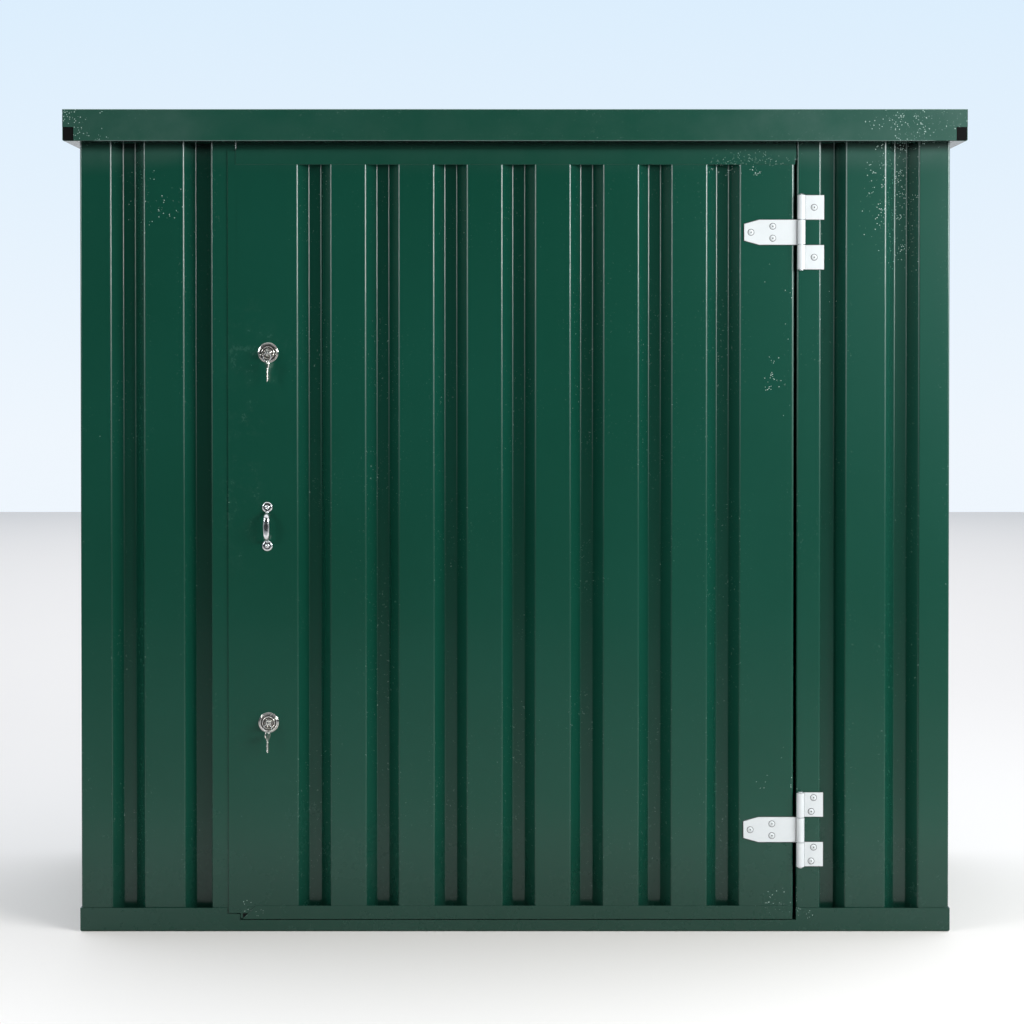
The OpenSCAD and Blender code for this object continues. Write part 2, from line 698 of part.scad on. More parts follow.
module door_handle() color(chrome) at_front() translate([handle_x, skin_v, handle_z]) difference() {
    pad_h = 4;
    bar_r = 5;
    half = handle_span / 2 - 11;
    rise = handle_out - bar_r - pad_h + 1;
    arc_r = (half * half + rise * rise) / (2 * rise);
    arc = asin(half / arc_r);
    union() {
        for (s = [-1, 1]) translate([0, 0, s * handle_span / 2]) rod_y(13.5, -pad_h, 0);
        translate([0, arc_r - rise - pad_h + 1, 0]) rotate([0, -90, 0]) rotate([0, 0, -90 - arc])
            rotate_extrude(angle = 2 * arc) translate([arc_r, 0]) circle(r = bar_r);
        for (s = [-1, 1]) translate([-6, -pad_h, s * half - (s > 0 ? 6 : 5)]) cube([12, pad_h, 11]);
    }
    for (s = [-1, 1]) translate([0, 0, s * handle_span / 2]) rod_y(2.7, -pad_h - 1, 1);
    translate([-20, 0, -100]) cube([40, 30, 200]);
}

module handle_screws() color(chrome) at_front() handle_screw_sites() translate([0, skin_v, 0]) {
    rod_y(2.5, -4.2, 9);
    turned_out() polygon([[0, 4.1], [5, 4.1], [4.2, 6], [0, 6.6]]);
    rod_y(4.6, sheet_t + 0.1, sheet_t + 4, 6);
}

// ---- Locks ----

module lock_housing(z) color(chrome) at_front() translate([lock_x, skin_v, z]) difference() {
    union() {
        turned_out() polygon([
            [0, 0], [rosette_r, 0], [rosette_r, 3], [rosette_r - 2, 5], [rosette_r - 6, 6.5],
            [rosette_r - 6.5, 5.5], [rosette_r - 9, 5.5], [rosette_r - 9.5, 8], [rosette_r - 12, rosette_h],
            [0, rosette_h]]);
        rod_y(lock_body_r, -0.01, cam_v - skin_v - 1);
    }
    rod_y(plug_r + run, -rosette_h - 1, cam_v - skin_v);
}

module lock_nuts() color(zinc) at_front() lock_sites() difference() {
    rod_y(19, skin_back + 0.1, skin_back + 8, 6);
    rod_y(lock_body_r + 0.05, skin_back - 1, skin_back + 9);
}

module keyway() translate([-blade_t / 2 - 0.3, -rosette_h - 2, -blade_w / 2 - 0.3]) cube([blade_t + 0.6, blade_l + 4, blade_w + 0.6]);

module lock_plug(z) color(nickel) at_front() translate([lock_x, skin_v, z]) difference() {
    union() {
        rod_y(plug_r, -rosette_h - 0.5, cam_v - skin_v - 0.2);
        translate([-tail_size / 2, cam_v - skin_v - 1, -tail_size / 2]) cube([tail_size, cam_t + 6, tail_size]);
    }
    keyway();
}

module lock_cam(z) color(zinc) at_front() translate([lock_x, cam_v, z]) {
    difference() {
        union() {
            rod_y(cam_w / 2 + 2, 0, cam_t);
            translate([-cam_w / 2, 0, -cam_l]) cube([cam_w, cam_t, cam_l]);
        }
        translate([-tail_size / 2 - 0.1, -1, -tail_size / 2 - 0.1]) cube([tail_size + 0.2, cam_t + 2, tail_size + 0.2]);
    }
    difference() {
        rod_y(9, cam_t + 0.1, cam_t + 4.5, 6);
        translate([-tail_size / 2 - 0.1, 0, -tail_size / 2 - 0.1]) cube([tail_size + 0.2, 20, tail_size + 0.2]);
    }
}

// A key in the Y and Z plane: bow centred on the origin, hole towards -Y, blade of that length towards +Y
module key_shape(length) {
    difference() {
        translate([-bow_t / 2, 0, 0]) rotate([0, 90, 0]) cylinder(r = bow_r, h = bow_t);
        translate([-bow_t, -hole_from_bow, 0]) rotate([0, 90, 0]) cylinder(r = key_hole_r, h = 2 * bow_t);
    }
    translate([-blade_t / 2, bow_r - 2, -blade_w / 2]) cube([blade_t, length + 2, blade_w]);
}

module inserted_key(z) color(nickel) at_front()
    translate([lock_x, skin_v - key_hole_out + hole_from_bow, z])
        key_shape(key_hole_out - hole_from_bow - bow_r - rosette_h + blade_l - 3);

// Height of the ring's wire where it lies in the inserted key's hole, and where the spare key hangs on it
function ring_top(z) = z - hang;
function ring_bottom(z) = ring_top(z) - 2 * ring_r;

module key_ring(z) color(nickel) at_front()
    translate([lock_x, skin_v - key_hole_out, ring_top(z) - ring_r]) rotate([90, 0, 0])
        rotate_extrude() translate([ring_r, 0]) circle(r = wire_r);

module spare_key(z) color(nickel) at_front()
    translate([lock_x, skin_v - key_hole_out, ring_bottom(z) - hang - hole_from_bow])
        rotate([-90, 0, 0]) key_shape(spare_l);

// ---- The nodes ----

base_front_rail();
base_rail(1);  // base_right_rail
base_rail(2);  // base_back_rail
base_rail(3);  // base_left_rail
base_bearers();
floor_plates();
sill_plate();
corner_post(0);  // corner_post_front_left
corner_post(1);  // corner_post_front_right
corner_post(2);  // corner_post_back_right
corner_post(3);  // corner_post_back_left
frame_bolts();
front_left_panel();
front_right_panel();
color(paint) on_side(1) side_panel();  // right_side_panel
color(paint) on_side(3) side_panel();  // left_side_panel
color(paint) on_side(2) back_panel();  // back_right_panel
color(paint) mirror([1, 0, 0]) on_side(2) back_panel();  // back_left_panel
lock_jamb();
hinge_jamb();
door_header();
lock_keepers();
jamb_screws();
fascia(0);  // roof_front_fascia
fascia(2);  // roof_back_fascia
gutter(1);  // roof_right_gutter
gutter(3);  // roof_left_gutter
gutter_end_plugs();
color(paint) roof_sheet();  // roof_front_sheet
color(paint) mirror([0, 1, 0]) roof_sheet();  // roof_back_sheet
roof_bearers();
hinge_plates(upper_hinge_z);  // upper_hinge_plates
hinge_plates(lower_hinge_z);  // lower_hinge_plates
hinge_pins();
hinge_plate_rivets();
door_skin();
door_top_rail();
door_bottom_rail();
door_lock_stile();
door_hinge_stile();
door_braces();
hinge_strap(upper_hinge_z);  // upper_hinge_strap
hinge_strap(lower_hinge_z);  // lower_hinge_strap
strap_rivets();
door_handle();
handle_screws();
lock_housing(upper_lock_z);  // upper_lock_housing
lock_housing(lower_lock_z);  // lower_lock_housing
lock_nuts();
lock_plug(upper_lock_z);  // upper_lock_plug
lock_plug(lower_lock_z);  // lower_lock_plug
lock_cam(upper_lock_z);  // upper_lock_cam
lock_cam(lower_lock_z);  // lower_lock_cam
inserted_key(upper_lock_z);  // upper_key
inserted_key(lower_lock_z);  // lower_key
key_ring(upper_lock_z);  // upper_key_ring
key_ring(lower_lock_z);  // lower_key_ring
spare_key(upper_lock_z);  // upper_spare_key
spare_key(lower_lock_z);  // lower_spare_key
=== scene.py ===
import math

import bmesh
import bpy
from mathutils import Matrix, Vector, noise


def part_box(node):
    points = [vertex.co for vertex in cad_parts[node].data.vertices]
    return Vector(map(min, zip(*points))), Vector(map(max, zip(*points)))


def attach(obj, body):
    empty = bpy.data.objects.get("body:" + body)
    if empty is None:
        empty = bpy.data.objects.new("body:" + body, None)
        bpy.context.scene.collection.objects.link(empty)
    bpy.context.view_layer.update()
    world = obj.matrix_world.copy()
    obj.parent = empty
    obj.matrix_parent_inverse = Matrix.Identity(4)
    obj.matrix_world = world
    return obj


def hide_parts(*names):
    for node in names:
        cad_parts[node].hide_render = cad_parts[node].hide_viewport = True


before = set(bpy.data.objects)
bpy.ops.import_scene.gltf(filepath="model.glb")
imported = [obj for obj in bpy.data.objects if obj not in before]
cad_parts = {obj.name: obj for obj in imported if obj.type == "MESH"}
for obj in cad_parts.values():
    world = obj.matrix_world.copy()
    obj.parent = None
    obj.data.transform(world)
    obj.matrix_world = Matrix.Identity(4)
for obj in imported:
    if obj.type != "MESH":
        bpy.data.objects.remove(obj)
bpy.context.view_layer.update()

MM = 0.001

# ---- The store's own sizes, in metres, read from the frame where a node gives them ----

LEFT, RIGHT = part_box("corner_post_front_left")[0].x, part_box("corner_post_front_right")[1].x
FRONT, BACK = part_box("corner_post_front_left")[0].y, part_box("corner_post_back_left")[1].y
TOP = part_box("roof_front_fascia")[1].z
WALL_LOW, WALL_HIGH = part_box("front_left_panel")[0].z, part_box("front_left_panel")[1].z
BASE_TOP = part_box("base_left_rail")[1].z
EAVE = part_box("roof_front_fascia")[0].z
DOOR_SKIN_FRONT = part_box("door_skin")[0].y


def middle(node, axis):
    """The middle of a node's box along X, Y or Z."""
    low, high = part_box(node)
    return (getattr(low, axis) + getattr(high, axis)) / 2


LOCK_X = middle("upper_lock_plug", "x")
LOCK_Z = {side: middle(side + "_lock_plug", "z") for side in ("upper", "lower")}
HANDLE_X, HANDLE_Z = middle("door_handle", "x"), middle("door_handle", "z")
PIN_X, PIN_Y = middle("hinge_pins", "x"), middle("hinge_pins", "y")
STRAP_Z = {side: middle(side + "_hinge_strap", "z") for side in ("upper", "lower")}

SHEET = 1.0 * MM
FRAME_STEEL = 2.0 * MM
RIB_DEPTH, RIB_MOUTH, RIB_FLOOR = 35 * MM, 84 * MM, 31 * MM
FOLD_R = 5 * MM
FRAME_FOLD = 3 * MM


# ---- Shader maths ----

class Wire:
    """A value in a tree of shader nodes. Python's operators on it add the tree's Math nodes."""

    def __init__(self, graph, socket):
        self.graph, self.socket = graph, socket

    def math(self, operation, *others):
        return self.graph.node("Math", {"operation": operation}, dict(enumerate((self,) + others)))

    def __add__(self, other):
        return self.math("ADD", other)

    def __mul__(self, other):
        return self.math("MULTIPLY", other)

    def __sub__(self, other):
        return self.math("SUBTRACT", other)

    def __rsub__(self, other):
        return self.graph.node("Math", {"operation": "SUBTRACT"}, {0: other, 1: self})

    def __gt__(self, other):
        return self.math("GREATER_THAN", other)

    def __lt__(self, other):
        return self.math("LESS_THAN", other)

    __radd__ = __add__
    __rmul__ = __mul__

    def abs(self):
        return self.math("ABSOLUTE")

    def at_most(self, other):
        return self.math("MINIMUM", other)

    def rise(self, low, high, smooth=True):
        """0 below low and 1 above high; the other way round when high is the smaller."""
        flip = high < low
        out = self.graph.node("MapRange", {"interpolation_type": "SMOOTHSTEP" if smooth else "LINEAR"}, {
            "Value": self, "From Min": min(low, high), "From Max": max(low, high)})
        return 1 - out if flip else out


class Graph:
    """A tree of shader nodes."""

    def __init__(self, tree):
        self.tree = tree

    def node(self, kind, settings=None, inputs=None, out=0):
        node = self.tree.nodes.new("ShaderNode" + kind)
        for key, value in (settings or {}).items():
            setattr(node, key, value)
        for key, value in (inputs or {}).items():
            if isinstance(value, Wire):
                self.tree.links.new(value.socket, node.inputs[key])
            else:
                node.inputs[key].default_value = value
        return Wire(self, node.outputs[out])

    def split(self, vector, axis):
        return self.node("SeparateXYZ", None, {0: vector}, axis)

    def mix(self, mask, a, b):
        """Colour a where the mask is 0 and colour b where it is 1."""
        pick = {0: mask, 6: a, 7: b}
        return self.node("Mix", {"data_type": "RGBA"}, {
            k: (*v, 1) if isinstance(v, tuple) else v for k, v in pick.items()}, 2)


class Finish(Graph):
    """One material on a Principled shader."""

    def __init__(self, name, **constants):
        self.material = bpy.data.materials.new(name)
        self.material.use_nodes = True
        super().__init__(self.material.node_tree)
        self.shader = self.tree.nodes["Principled BSDF"]
        for socket, value in constants.items():
            self.shader.inputs[socket.replace("_", " ")].default_value = value
        self.place = self.node("TexCoord", out="Object")
        self.x, self.y, self.z = (self.split(self.place, axis) for axis in "XYZ")

    def stretch(self, x, y, z):
        return self.node("VectorMath", {"operation": "MULTIPLY"}, {0: self.place, 1: (x, y, z)})

    def grain(self, scale, detail=2, rough=0.5, at=None, seed=0.0):
        shift = {0: at or self.place, 1: (seed, seed * 1.7, -seed)}
        moved = self.node("VectorMath", {"operation": "ADD"}, shift)
        sockets = {"Vector": moved, "Scale": scale, "Detail": detail, "Roughness": rough}
        return self.node("TexNoise", None, sockets)

    def cells(self, scale, out="Distance"):
        return self.node("TexVoronoi", None, {"Vector": self.place, "Scale": scale}, out)

    def dots(self, scale, size, share):
        """Dots in a share of the cells, which may be a number or a value."""
        return (self.cells(scale) < size) * (self.cells(scale, "Color") > 1 - share)

    def near(self, x, z, radius, tall=None):
        """1 at (x, z) on the front, fading to 0 at radius across and tall up and down."""
        dx, dz = (self.x - x) * (1 / radius), (self.z - z) * (1 / (tall or radius))
        return (dx * dx + dz * dz).rise(1.0, 0.0)

    def attribute(self, name):
        return self.node("Attribute", {"attribute_name": name}, None, "Fac")

    def wear(self, **sockets):
        for socket, value in sockets.items():
            self.tree.links.new(value.socket, self.shader.inputs[socket.replace("_", " ")])

    def relief(self, *layers):
        """Each layer is a height value with the depth in metres that its 0 to 1 spans."""
        normal = None
        for height, depth in layers:
            inputs = {"Height": height, "Strength": 1.0, "Distance": depth}
            if normal:
                inputs["Normal"] = normal
            normal = self.node("Bump", None, inputs)
        self.wear(Normal=normal)


def green_coat():
    f = Finish("green powder coat", Specular_IOR_Level=0.34, Coat_Weight=0.18, Coat_Roughness=0.06)
    deep, pale, worn = (0.0030, 0.0500, 0.0305), (0.0058, 0.0640, 0.0425), (0.42, 0.55, 0.50)
    tone = f.grain(1.3, 3, seed=2.0)
    mottle = f.grain(38, 4, 0.6)
    colour = f.mix(tone.rise(0.3, 0.75) * 0.5 + mottle.rise(0.35, 0.75) * 0.06, deep, pale)
    # The upper right of the front is lighter, and the fascia's ends are chalky
    colour = f.mix(f.x.rise(0.15, 1.15) * f.z.rise(0.3, 1.9) * 0.7, colour, (0.0110, 0.0680, 0.0480))
    chalk = (f.near(-1.08, 2.03, 0.40, 0.12) + f.near(0.95, 2.03, 0.55, 0.12)
             + f.near(0, 2.03, 1.8, 0.12) * 0.45).at_most(1.0)
    chalk = chalk * f.grain(11, 4, 0.6, seed=3.0)
    colour = f.mix(chalk * 0.16, colour, (0.22, 0.27, 0.26))
    # Darker near the ground, with a painted shadow right under the eaves and painted shade down in the
    # grooves
    ground = f.z.rise(0.34, 0.02)
    eave_shadow = f.z.rise(EAVE - 30 * MM, EAVE - 3 * MM) * (f.z < EAVE + 1 * MM)
    groove = f.y.rise(FRONT + 4 * MM, FRONT + 34 * MM) * (f.y < FRONT + 45 * MM)
    groove = groove * (f.x.abs() < RIGHT - 5 * MM)
    shade = (ground * 0.35 + eave_shadow * 0.85 + groove * 0.22).at_most(1.0)
    colour = f.mix(shade, colour, (0.0006, 0.0080, 0.0050))
    # Dust settles low down and wipes off in streaks
    dust = f.z.rise(0.6, 0.0) * f.grain(9, 5, 0.65, seed=5.0).rise(0.25, 0.8)
    colour = f.mix(dust * 0.02, colour, (0.20, 0.21, 0.20))
    # Chips gather where ladders, boxes and hands have knocked the paint
    knocked = (f.near(1.12, 2.055, 0.32, 0.09) + f.near(0.98, 1.86, 0.15, 0.24) * 0.6
               + f.near(0.59, 1.945, 0.15, 0.05) * 0.9 + f.near(0.72, 1.64, 0.14, 0.26) * 0.3
               + f.near(-1.10, 2.03, 0.16, 0.10) * 0.55 + f.near(-0.92, 1.86, 0.12, 0.14) * 0.35
               + f.near(0.66, 1.38, 0.05, 0.11) * 0.5 + f.near(0.68, 0.36, 0.14, 0.16) * 0.28
               + f.near(0.70, 0.07, 0.12, 0.06) * 0.6 + f.near(-0.66, 0.06, 0.06, 0.05) * 0.5).at_most(1.0)
    patch = f.grain(26, 3, 0.6, seed=9.0)
    speck = f.dots(250, 0.29, knocked * patch.rise(0.44, 0.65) * 0.65)
    # Between the chips the paint there is full of pinholes
    pinholes = f.dots(390, 0.32, knocked * 0.26)
    # A thin scatter of specks is everywhere
    stray = f.dots(120, 0.10, 0.025)
    # Hands have rubbed the paint dull beside the locks and the handle
    handled = (f.near(LOCK_X - 0.045, LOCK_Z["upper"] - 0.03, 0.09, 0.22)
               + f.near(LOCK_X + 0.06, LOCK_Z["upper"], 0.06, 0.07) * 0.5
               + f.near(LOCK_X - 0.07, HANDLE_Z + 0.06, 0.07, 0.26) * 0.9
               + f.near(LOCK_X - 0.09, LOCK_Z["lower"], 0.05, 0.1) * 0.4
               + f.near(-0.51, 0.22, 0.12, 0.16) * 0.3).at_most(1.0)
    rub = handled * f.grain(30, 6, 0.7, seed=13.0).rise(0.46, 0.80) * f.grain(140, 3, 0.6).rise(0.3, 0.7)
    nick = f.dots(210, 0.20, handled * 0.05)
    # Paint is thin along the folds and is knocked off there in points
    fold = f.attribute("fold")
    thin = fold * f.grain(150, 3, 0.7, seed=17.0).rise(0.62, 0.74) * f.grain(5, 2, seed=19.0).rise(0.38, 0.62)
    bare = (speck + stray + nick + thin * 0.4 + pinholes * 0.7).at_most(1.0)
    colour = f.mix(rub * 0.2, colour, (0.10, 0.19, 0.16))
    # Painted highlight: along the middle of each fold the colour is lightened, most of all up high
    fold_highlight = fold.rise(0.7, 1.0) * f.z.rise(0.9, 1.95)
    colour = f.mix(fold_highlight * 0.16, colour, (0.55, 0.66, 0.65))
    colour = f.mix(bare * 0.9, colour, worn)
    gloss = 0.23 + mottle * 0.02 + rub * 0.14 + bare * 0.25 + dust * 0.08
    f.wear(Base_Color=colour, Roughness=gloss.at_most(0.9))
    peel = f.grain(520, 2, 0.5)
    f.relief((f.grain(4.5, 1, 0.4, at=f.stretch(1.0, 1.0, 0.45), seed=31.0), 1.6 * MM), (peel, 0.016 * MM),
             (1 - bare, 0.05 * MM))
    return f.material


def white_coat():
    f = Finish("white hinge paint", Specular_IOR_Level=0.45, Coat_Weight=0.05, Coat_Roughness=0.3)
    cloud = f.grain(22, 4, 0.6)
    grime = f.grain(90, 4, 0.65, seed=4.0).rise(0.62, 0.78)
    colour = f.mix(cloud * 0.6, (0.70, 0.71, 0.72), (0.56, 0.57, 0.59))
    colour = f.mix(grime * 0.16, colour, (0.30, 0.31, 0.31))
    chip = f.dots(260, 0.22, 0.025)
    colour = f.mix(chip * 0.8, colour, (0.12, 0.13, 0.13))
    f.wear(Base_Color=colour, Roughness=0.38 + cloud * 0.12)
    f.relief((f.grain(300, 3, 0.5), 0.05 * MM), (f.grain(70, 2, 0.5, seed=8.0), 0.18 * MM))
    return f.material


def bright_metal(name, tint, dull, gloss):
    """Plated or polished metal, with finger marks and faint lines of polishing."""
    f = Finish(name, Metallic=1.0)
    smear = f.grain(120, 4, 0.6)
    tarnish = f.grain(260, 3, 0.6, seed=6.0).rise(0.55, 0.8)
    roughness = gloss + smear.rise(0.35, 0.8) * 0.14 + tarnish * 0.1
    f.wear(Base_Color=f.mix(tarnish * 0.45, tint, dull), Roughness=roughness)
    f.relief((f.grain(900, 2, 0.5, at=f.stretch(1.0, 1.0, 0.15)), 0.005 * MM))
    return f.material


def lock_plate():
    """Worn nickel, with dirt and painted shade in the rings turned into its face and a painted dark
    reflection in its middle.
    """
    f = Finish("worn lock plate", Metallic=1.0)
    across = f.x - LOCK_X
    from_axis = None
    for z in LOCK_Z.values():
        up = f.z - z
        away = (across * across + up * up).math("SQRT")
        from_axis = away if from_axis is None else from_axis.at_most(away)
    ring_shade_and_dirt = 0
    # Dirt and painted shade darken the rings turned into the face
    for groove, half in ((12.1, 1.5), (18.0, 1.5), (23.8, 0.6), (8.0, 0.6)):
        ring_shade_and_dirt = (from_axis - groove * MM).abs().rise(half * 1.3 * MM, half * 0.7 * MM) + ring_shade_and_dirt
    ring_shade_and_dirt = ring_shade_and_dirt.at_most(1.0) * f.grain(300, 3, 0.6).rise(0.0, 0.4)
    # The middle, where keys knock, is duller than the rim; its darker colour is a painted dark reflection
    knocked = from_axis.rise(14.5 * MM, 12.0 * MM) * f.grain(330, 3, 0.6, seed=2.0).rise(0.25, 0.6)
    tarnish = (f.grain(210, 3, 0.6, seed=6.0).rise(0.5, 0.8) * 0.6 + knocked * 0.9).at_most(1.0)
    colour = f.mix(tarnish * 0.8, (0.90, 0.88, 0.84), (0.26, 0.23, 0.19))
    colour = f.mix(ring_shade_and_dirt * 0.95, colour, (0.035, 0.03, 0.025))
    f.wear(Base_Color=colour, Roughness=0.10 + tarnish * 0.1 + ring_shade_and_dirt * 0.2)
    f.relief((f.grain(900, 2, 0.5), 0.006 * MM))
    return f.material


def galvanised():
    f = Finish("galvanised steel", Metallic=0.85)
    tone = f.split(f.cells(95, "Color"), "X")
    stain = f.grain(6, 4, 0.6)
    colour = f.mix(tone * 0.7, (0.34, 0.355, 0.37), (0.56, 0.58, 0.60))
    colour = f.mix(stain.rise(0.5, 0.85) * 0.5, colour, (0.30, 0.29, 0.27))
    f.wear(Base_Color=colour, Roughness=0.36 + tone * 0.16 + stain * 0.1)
    f.relief((f.grain(240, 2, 0.5), 0.03 * MM))
    return f.material


# Painted shade: a near-black finish for painted shadows and shade in gaps, rings and holes
def grime():
    f = Finish("painted shade in gaps", Roughness=0.8)
    f.wear(Base_Color=f.mix(f.grain(240, 3, 0.6), (0.03, 0.03, 0.03), (0.09, 0.09, 0.085)))
    return f.material


def black_rubber():
    f = Finish("black end plug", Specular_IOR_Level=0.08)
    mottle = f.grain(180, 4, 0.6)
    colour = f.mix(mottle, (0.002, 0.002, 0.002), (0.005, 0.005, 0.005))
    f.wear(Base_Color=colour, Roughness=0.55 + mottle * 0.2)
    f.relief((f.grain(500, 2), 0.06 * MM))
    return f.material


GREEN = green_coat()
WHITE = white_coat()
PAINTED_SHADE = grime()
CHROME = bright_metal("chrome plate", (0.80, 0.81, 0.82), (0.45, 0.45, 0.45), 0.10)
LOCK_PLATE = lock_plate()
NICKEL = bright_metal("nickel plate", (0.84, 0.82, 0.77), (0.50, 0.46, 0.40), 0.15)
ZINC = galvanised()
STEEL = bright_metal("zinc-plated fixings", (0.66, 0.67, 0.69), (0.42, 0.42, 0.42), 0.26)
RUBBER = black_rubber()


# ---- Building pieces ----


def piece(name, bm, material, body, replaced=(), weighted=True, sharp=34):
    """Turns the mesh under construction into a shown piece."""
    mesh = bpy.data.meshes.new(name)
    bmesh.ops.remove_doubles(bm, verts=bm.verts, dist=1e-6)
    bmesh.ops.recalc_face_normals(bm, faces=bm.faces)
    bm.to_mesh(mesh)
    bm.free()
    mesh.materials.append(material)
    mesh.shade_smooth()
    mesh.set_sharp_from_angle(angle=math.radians(sharp))
    obj = bpy.data.objects.new(name, mesh)
    bpy.context.scene.collection.objects.link(obj)
    if weighted:
        obj.modifiers.new("flats stay flat", "WEIGHTED_NORMAL").keep_sharp = True
    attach(obj, body)
    if replaced:
        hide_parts(*replaced)
    return obj


def bridge(bm, a, b):
    """Joins two rings of vertices with faces. Either may be a single point."""
    count = max(len(a), len(b))
    for k in range(count):
        m = (k + 1) % count
        ring = [a[k % len(a)], a[m % len(a)], b[m % len(b)], b[k % len(b)]]
        face = [v for i, v in enumerate(ring) if v not in ring[:i]]
        if len(face) > 2:
            bm.faces.new(face)


def bevelled(obj, width, segments=2, angle=35):
    bevel = obj.modifiers.new("softened edges", "BEVEL")
    bevel.width, bevel.segments, bevel.limit_method = width, segments, "ANGLE"
    bevel.angle_limit = math.radians(angle)
    # The weighting of normals comes after the bevel
    index = obj.modifiers.find("flats stay flat")
    if index >= 0:
        obj.modifiers.move(index, len(obj.modifiers) - 1)
    return obj


def folded(path, thickness, radius=FOLD_R, steps=5, widest=0.045):
    """The outer and inner points of a folded sheet, each with how much of a fold it is.

    The path is a list of 2-D points and the metal lies to its left, or to its right when the
    thickness is negative.
    """
    pts = [Vector(p) for p in path]
    line = [(pts[0], (pts[1] - pts[0]).normalized(), 0.0)]
    for a, b, c in zip(pts, pts[1:], pts[2:]):
        d1, d2 = (b - a).normalized(), (c - b).normalized()
        turn = math.atan2(d1.x * d2.y - d1.y * d2.x, d1.dot(d2))
        side = 1 if turn > 0 else -1
        r = radius + abs(thickness) if side * thickness > 0 else radius
        start = b - d1 * (r * math.tan(abs(turn) / 2))
        centre = start + Vector((-d1.y, d1.x)) * (side * r)
        for k in range(steps + 1):
            rot = Matrix.Rotation(turn * k / steps, 2)
            line.append((centre + rot @ (start - centre), rot @ d1, 1.0 if 0 < k < steps else 0.55))
    line.append((pts[-1], (pts[-1] - pts[-2]).normalized(), 0.0))
    full = [line[0]]
    for (p, d, f), (q, e, g) in zip(line, line[1:]):
        parts = max(1, math.ceil((q - p).length / widest)) if (q - p).length > widest else 1
        for k in range(1, parts):
            full.append((p.lerp(q, k / parts), e, 0.0))
        full.append((q, e, g))
    outer = [(p, f) for p, d, f in full]
    inner = [(p + Vector((-d.y, d.x)) * thickness, f) for p, d, f in full]
    return outer, inner


def wave(x, y, z, seed, depth):
    """The slow waviness that rolled sheet has, as an offset in metres."""
    slow = noise.noise(Vector((x * 1.9 + seed, y * 1.9 - seed, z * 1.3 + seed * 0.5)))
    fine = noise.noise(Vector((x * 6.0 - seed, y * 6.0, z * 3.1 + seed)))
    return depth * (slow + 0.35 * fine)


def run_sheet(bm, path, thickness, low, high, place, step=0.07, seed=0.0, depth=0.0, radius=FOLD_R, steps=5):
    """Runs a folded section from low to high. place(p, q, along) gives the 3-D point, where p and q
    are the section's own directions; depth is how far the flats wave."""
    outer, inner = folded(path, thickness, radius, steps)
    loop = outer + inner[::-1]
    fold_layer = bm.verts.layers.float.get("fold") or bm.verts.layers.float.new("fold")
    count = max(1, round((high - low) / step))
    rows = []
    for i in range(count + 1):
        along = low + (high - low) * i / count
        row = []
        ends = min(1.0, min(along - low, high - along) / 0.05)
        for p, f in loop:
            point = place(p.x, p.y, along)
            off = wave(point.x, point.y, point.z, seed, depth) * ends * (1 - 0.75 * f) if depth else 0.0
            vert = bm.verts.new(place(p.x, p.y + off, along))
            vert[fold_layer] = f
            row.append(vert)
        rows.append(row)
    for a, b in zip(rows, rows[1:]):
        bridge(bm, a, b)
    n, half = len(loop), len(outer)
    for row, flip in ((rows[0], False), (rows[-1], True)):
        for j in range(half - 1):
            quad = (row[j], row[j + 1], row[n - 2 - j], row[n - 1 - j])
            bm.faces.new(quad[::-1] if flip else quad)
    return bm


def wall_frame(k):
    """A wall's own directions: u along it, v inwards. 0 is the front, then right, back and left."""
    corner = (Vector((LEFT, FRONT)), Vector((RIGHT, FRONT)), Vector((RIGHT, BACK)), Vector((LEFT, BACK)))[k]
    along = Vector((1, 0)), Vector((0, 1)), Vector((-1, 0)), Vector((0, -1))
    u, v = along[k], along[(k + 1) % 4]
    return lambda pu, pv, z: Vector((*(corner + u * pu + v * pv), z))


def rib(c, v, mouth=RIB_MOUTH, floor=RIB_FLOOR, depth=RIB_DEPTH):
    return [(c - mouth / 2, v), (c - floor / 2, v + depth), (c + floor / 2, v + depth), (c + mouth / 2, v)]


def rib_row(first, last, count, v):
    return [p for i in range(count) for p in rib(first + (last - first) * i / (count - 1), v)]


def carve(obj, *boxes):
    """Cuts boxes, given by two corners each, out of a piece."""
    for low, high in boxes:
        bm = bmesh.new()
        bmesh.ops.create_cube(bm, size=1.0, matrix=Matrix.LocRotScale(
            (Vector(low) + Vector(high)) / 2, None, Vector(high) - Vector(low)))
        cutter = bpy.data.meshes.new("cutter")
        bm.to_mesh(cutter)
        bm.free()
        tool = bpy.data.objects.new("cutter", cutter)
        bpy.context.scene.collection.objects.link(tool)
        cut = obj.modifiers.new("cut", "BOOLEAN")
        cut.object, cut.operation, cut.solver = tool, "DIFFERENCE", "EXACT"
        obj.modifiers.move(len(obj.modifiers) - 1, 0)
        bpy.context.view_layer.update()
        with bpy.context.temp_override(object=obj, active_object=obj, selected_objects=[obj]):
            bpy.ops.object.modifier_apply(modifier="cut")
        bpy.data.objects.remove(tool)
        bpy.data.meshes.remove(cutter)
    return obj


def slab(bm, outline, depth_from, depth_to, place):
    """A flat plate: outline in its own plane, given depth by place(p, q, depth)."""
    near, far = ([bm.verts.new(place(p, q, d)) for p, q in outline] for d in (depth_from, depth_to))
    bridge(bm, near, far)
    bm.faces.new(near[::-1])
    bm.faces.new(far)
    return bm


def in_mm(section):
    return [(r * MM, h * MM) for r, h in section]


def lathe(bm, section, centre, axis=Vector((0, -1, 0)), segments=64):
    """Turns [(radius, height), ...] about an axis through centre."""
    side = axis.orthogonal().normalized()
    other = axis.cross(side)
    rings = []
    for r, h in section:
        if r < 1e-6:
            rings.append([bm.verts.new(centre + axis * h)])
        else:
            rings.append([bm.verts.new(centre + axis * h + (side * math.cos(t) + other * math.sin(t)) * r)
                          for t in (2 * math.pi * k / segments for k in range(segments))])
    for a, b in zip(rings, rings[1:]):
        bridge(bm, a, b)
    return bm


